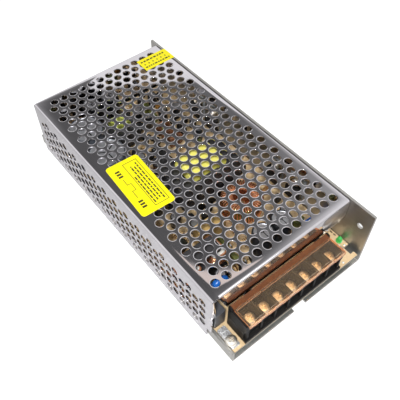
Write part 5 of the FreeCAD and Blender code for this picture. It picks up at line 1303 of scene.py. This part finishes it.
def boardObstacles():
    # nodes with scattered pieces block only the neighbourhood of their corners
    taken, reach = [], bits["corner"]
    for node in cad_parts:
        low, high = nodeBox(node)
        if node in bits["scattered"]:
            corners = (corner.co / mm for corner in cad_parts[node].data.vertices)
            taken += [(x - reach, y - reach, x + reach, y + reach) for x, y, z in corners if z > boardTop - 0.5]
        elif node not in bits["above"]:
            taken.append((low.x, low.y, high.x, high.y))
    return taken


def makeBoardBits():
    s, c = bits, bits["clear"]
    pick = random.Random(s["seed"])
    taken = boardObstacles()
    meshes = {kind: bmesh.new() for kind in bitKinds}
    left, right, front, rear = s["margins"]
    placed = 0
    for attempt in range(s["tries"]):
        kind = s["order"][placed % len(s["order"])] if attempt % 3 else pick.choice(s["flat"])
        w, l = bitKinds[kind][0]
        along = pick.random() < 0.5
        if along:
            w, l = l, w
        x = pick.uniform(boardLow.x + left + w / 2, boardHigh.x - right - w / 2)
        y = pick.uniform(coverLow.y + front + l / 2, boardHigh.y - rear - l / 2)
        room = (x - w / 2 - c, y - l / 2 - c, x + w / 2 + c, y + l / 2 + c)
        if any(room[0] < t[2] and room[2] > t[0] and room[1] < t[3] and room[3] > t[1] for t in taken):
            continue
        taken.append(room)
        placed += 1
        addBit(meshes[kind], kind, x, y, along, pick)
    # two tinned chip parts beside the indicator
    for x, y, w, l, h in ((boardHigh.x - 6.6, blockLow.y + 7.2, 1.9, 2.4, 1.3),
                          (blockHigh.x + 1.6, blockHigh.y - 2.0, 1.8, 3.4, 1.6)):
        addBox(meshes["block"], (x, y, boardTop), (x + w, y + l, boardTop + h), 1)
    for kind, (_, name, materials) in bitKinds.items():
        finishPiece(name, meshes[kind], materials, bevel=0.25 if kind == "block" else 0.0, angle=45)
    print("small board parts:", placed)


# outlines of the small parts: distances from the board or from the part's middle in mm, and materials by step
bitShapes = {
    "canFoot": ((0, 0), (2.9, 0), (3.15, 0.4), (3.15, 1.2), (2.95, 1.6), (3.15, 2.0)),
    "canHead": ((3.15, 0.4), (2.95, 0), (2.5, 0.05), (2.4, 0.3), (0, 0.3)),
    "canHigh": (8, 11.5), "disc": ((0, 1), (0.5, 0.95), (0.85, 0.7)), "discSize": (3.4, 1.3), "discLift": 2.4,
    "resistor": (1.15, 3.1, [0, 0, 0, 1, 0, 1, 0, 1, 0, 0, 0, 0, 0]), "diode": (1.35, 2.6, [0, 0, 1, 0, 0]),
    "leadLift": 0.3, "lead": 0.28, "coilTurns": 6, "coilPitch": 1.08, "coilWire": 0.52,
    "coil": ((0, 0), (4, 0), (4, 1.2), (2.6, 1.2), (2.6, 7.8), (4, 7.8), (4, 9), (1.2, 9), (1.1, 8.6), (0, 8.6)),
    "signalRadius": 2.3, "signalHeights": (2.2, 6.8), "blockSize": (3.6, 1.6, 0.5, 7.5),
}


def addBit(bm, kind, x, y, along, pick):
    s, z = bitShapes, boardTop
    # a part lies along one axis and across the other
    axis, side, here, across = ("y", "x", y, x) if along else ("x", "y", x, y)

    def at(u, w):
        return (x, y + u, z + w) if along else (x + u, y, z + w)

    if kind == "can":
        top = z + pick.uniform(*s["canHigh"])
        profile = [(r, z + w) for r, w in s["canFoot"]] + [(r, top - w) for r, w in s["canHead"]]
        addLathe(bm, profile, (x, y), "z", 28, [0] * 8 + [1] * 2)
    elif kind == "disc":
        (r, t), lift = s["discSize"], s["discLift"]
        addLathe(bm, [(a, across + w) for a, w in lens(r, t, s["disc"])], (here, z + lift + r), side, 24)
        for u in (-2.4, 2.4):
            addTube(bm, [at(u, -0.1), at(u, lift + r * 0.6)], s["lead"], 6, False, 1)
    elif kind in ("resistor", "diode"):
        r, half, marks = s[kind]
        waist = r * 0.85
        if kind == "resistor":
            profile = [(0, -half), (r * 0.8, -half), (r, -half + 0.4), (r, -half + 1.1), (waist, -half + 1.5),
                       *[(waist, w) for w in (-0.9, -0.3, 0.3, 0.9)], (waist, half - 1.5), (r, half - 1.1),
                       (r, half - 0.4), (r * 0.8, half), (0, half)]
        else:
            profile = [(0, -half), (r, -half), (r, half - 1.4), (r, half - 0.7), (r, half), (0, half)]
        level = r + s["leadLift"]
        addLathe(bm, [(a, here + w) for a, w in profile], (across, z + level), axis, 20, marks)
        for end in (-1, 1):
            addTube(bm, [at((half - 0.1) * end, level), at((half + 0.8) * end, level),
                         at((half + 1.2) * end, r - 0.1), at((half + 1.2) * end, -0.1)], s["lead"], 6, False, 2)
    elif kind == "coil":
        addLathe(bm, [(r, z + w) for r, w in s["coil"]], (x, y), "z", 28)
        for k in range(s["coilTurns"]):
            addTube(bm, [(u, v, z + 1.8 + k * s["coilPitch"]) for u, v in circle(x, y, 3.3, 20)], s["coilWire"], 6,
                    True, 1)
    elif kind == "signal":
        r, (low, high) = s["signalRadius"], s["signalHeights"]
        outline = [(x + r * math.cos(t), y + r * math.sin(t))
                   for t in (math.radians(-35 + 250 * i / 14) for i in range(15))]
        addPrism(bm, outline, z + low, z + high)
        for k in (-1.27, 0, 1.27):
            addPin(bm, x + k, y, z + low + 0.2, 0.25, 6)
    else:
        long, thick, low, high = s["blockSize"]
        corners = rectangle(-long, z + low, long, z + high, 1.0, 3)
        addPrism(bm, [(here + u, w) for u, w in corners], across - thick, across + thick, side)
        for u in (-2.5, 2.5):
            addTube(bm, [at(u, -0.1), at(u, 1.0)], 0.3, 6, False, 1)


# printed lines and solder dots round the terminal block, measured from the corners named beside them
boardMarks = {
    "lines": ((1.2, 1.2), (1.2, 3.6)), "line": (0.45, 1.8), "dots": ((6.2, -1.0), (4.9, -4.6), (2.2, -6.4)),
    "blockDots": ((2.6, 3.0), (4.6, 1.6)), "dot": ((0, 0), (0.75, 0), (0.6, 0.15), (0.3, 0.4), (0, 0.5)),
}


def makeBoardMarks():
    s = boardMarks
    bm = bmesh.new()
    x, y = boardHigh.x, coverLow.y
    half, length = s["line"]
    for u, v in s["lines"]:
        addPrism(bm, rectangle(x - u - half, y + v, x - u + half, y + v + length, 0.2, 3), boardTop, boardTop + 0.03)
    for place in [(x - u, y + v) for u, v in s["dots"]] + [(blockHigh.x + u, blockLow.y + v)
                                                           for u, v in s["blockDots"]]:
        addLathe(bm, [(r, boardTop + w) for r, w in s["dot"]], place, "z", 16, [1] * 4)
    finishPiece("boardMarks", bm, ["silkInk", "solderTin"], angle=50)


makeBoardBits()
makeBoardMarks()

# the nodes that stay as they come
for nodeName, finishName in {
        "chassis": "chassisSheet", "insulating_sheet": "clearFilm", "standoffs": "standoffSteel",
        "circuit_board": "laminate", "fuse_clips": "contactTin", "transformer_bobbin": "blackNylon",
        "insulating_pads": "greyPad"}.items():
    coatNode(nodeName, finishName)
print("nodes with a finish:", sum(len(node.data.materials) == 1 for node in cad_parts.values()))
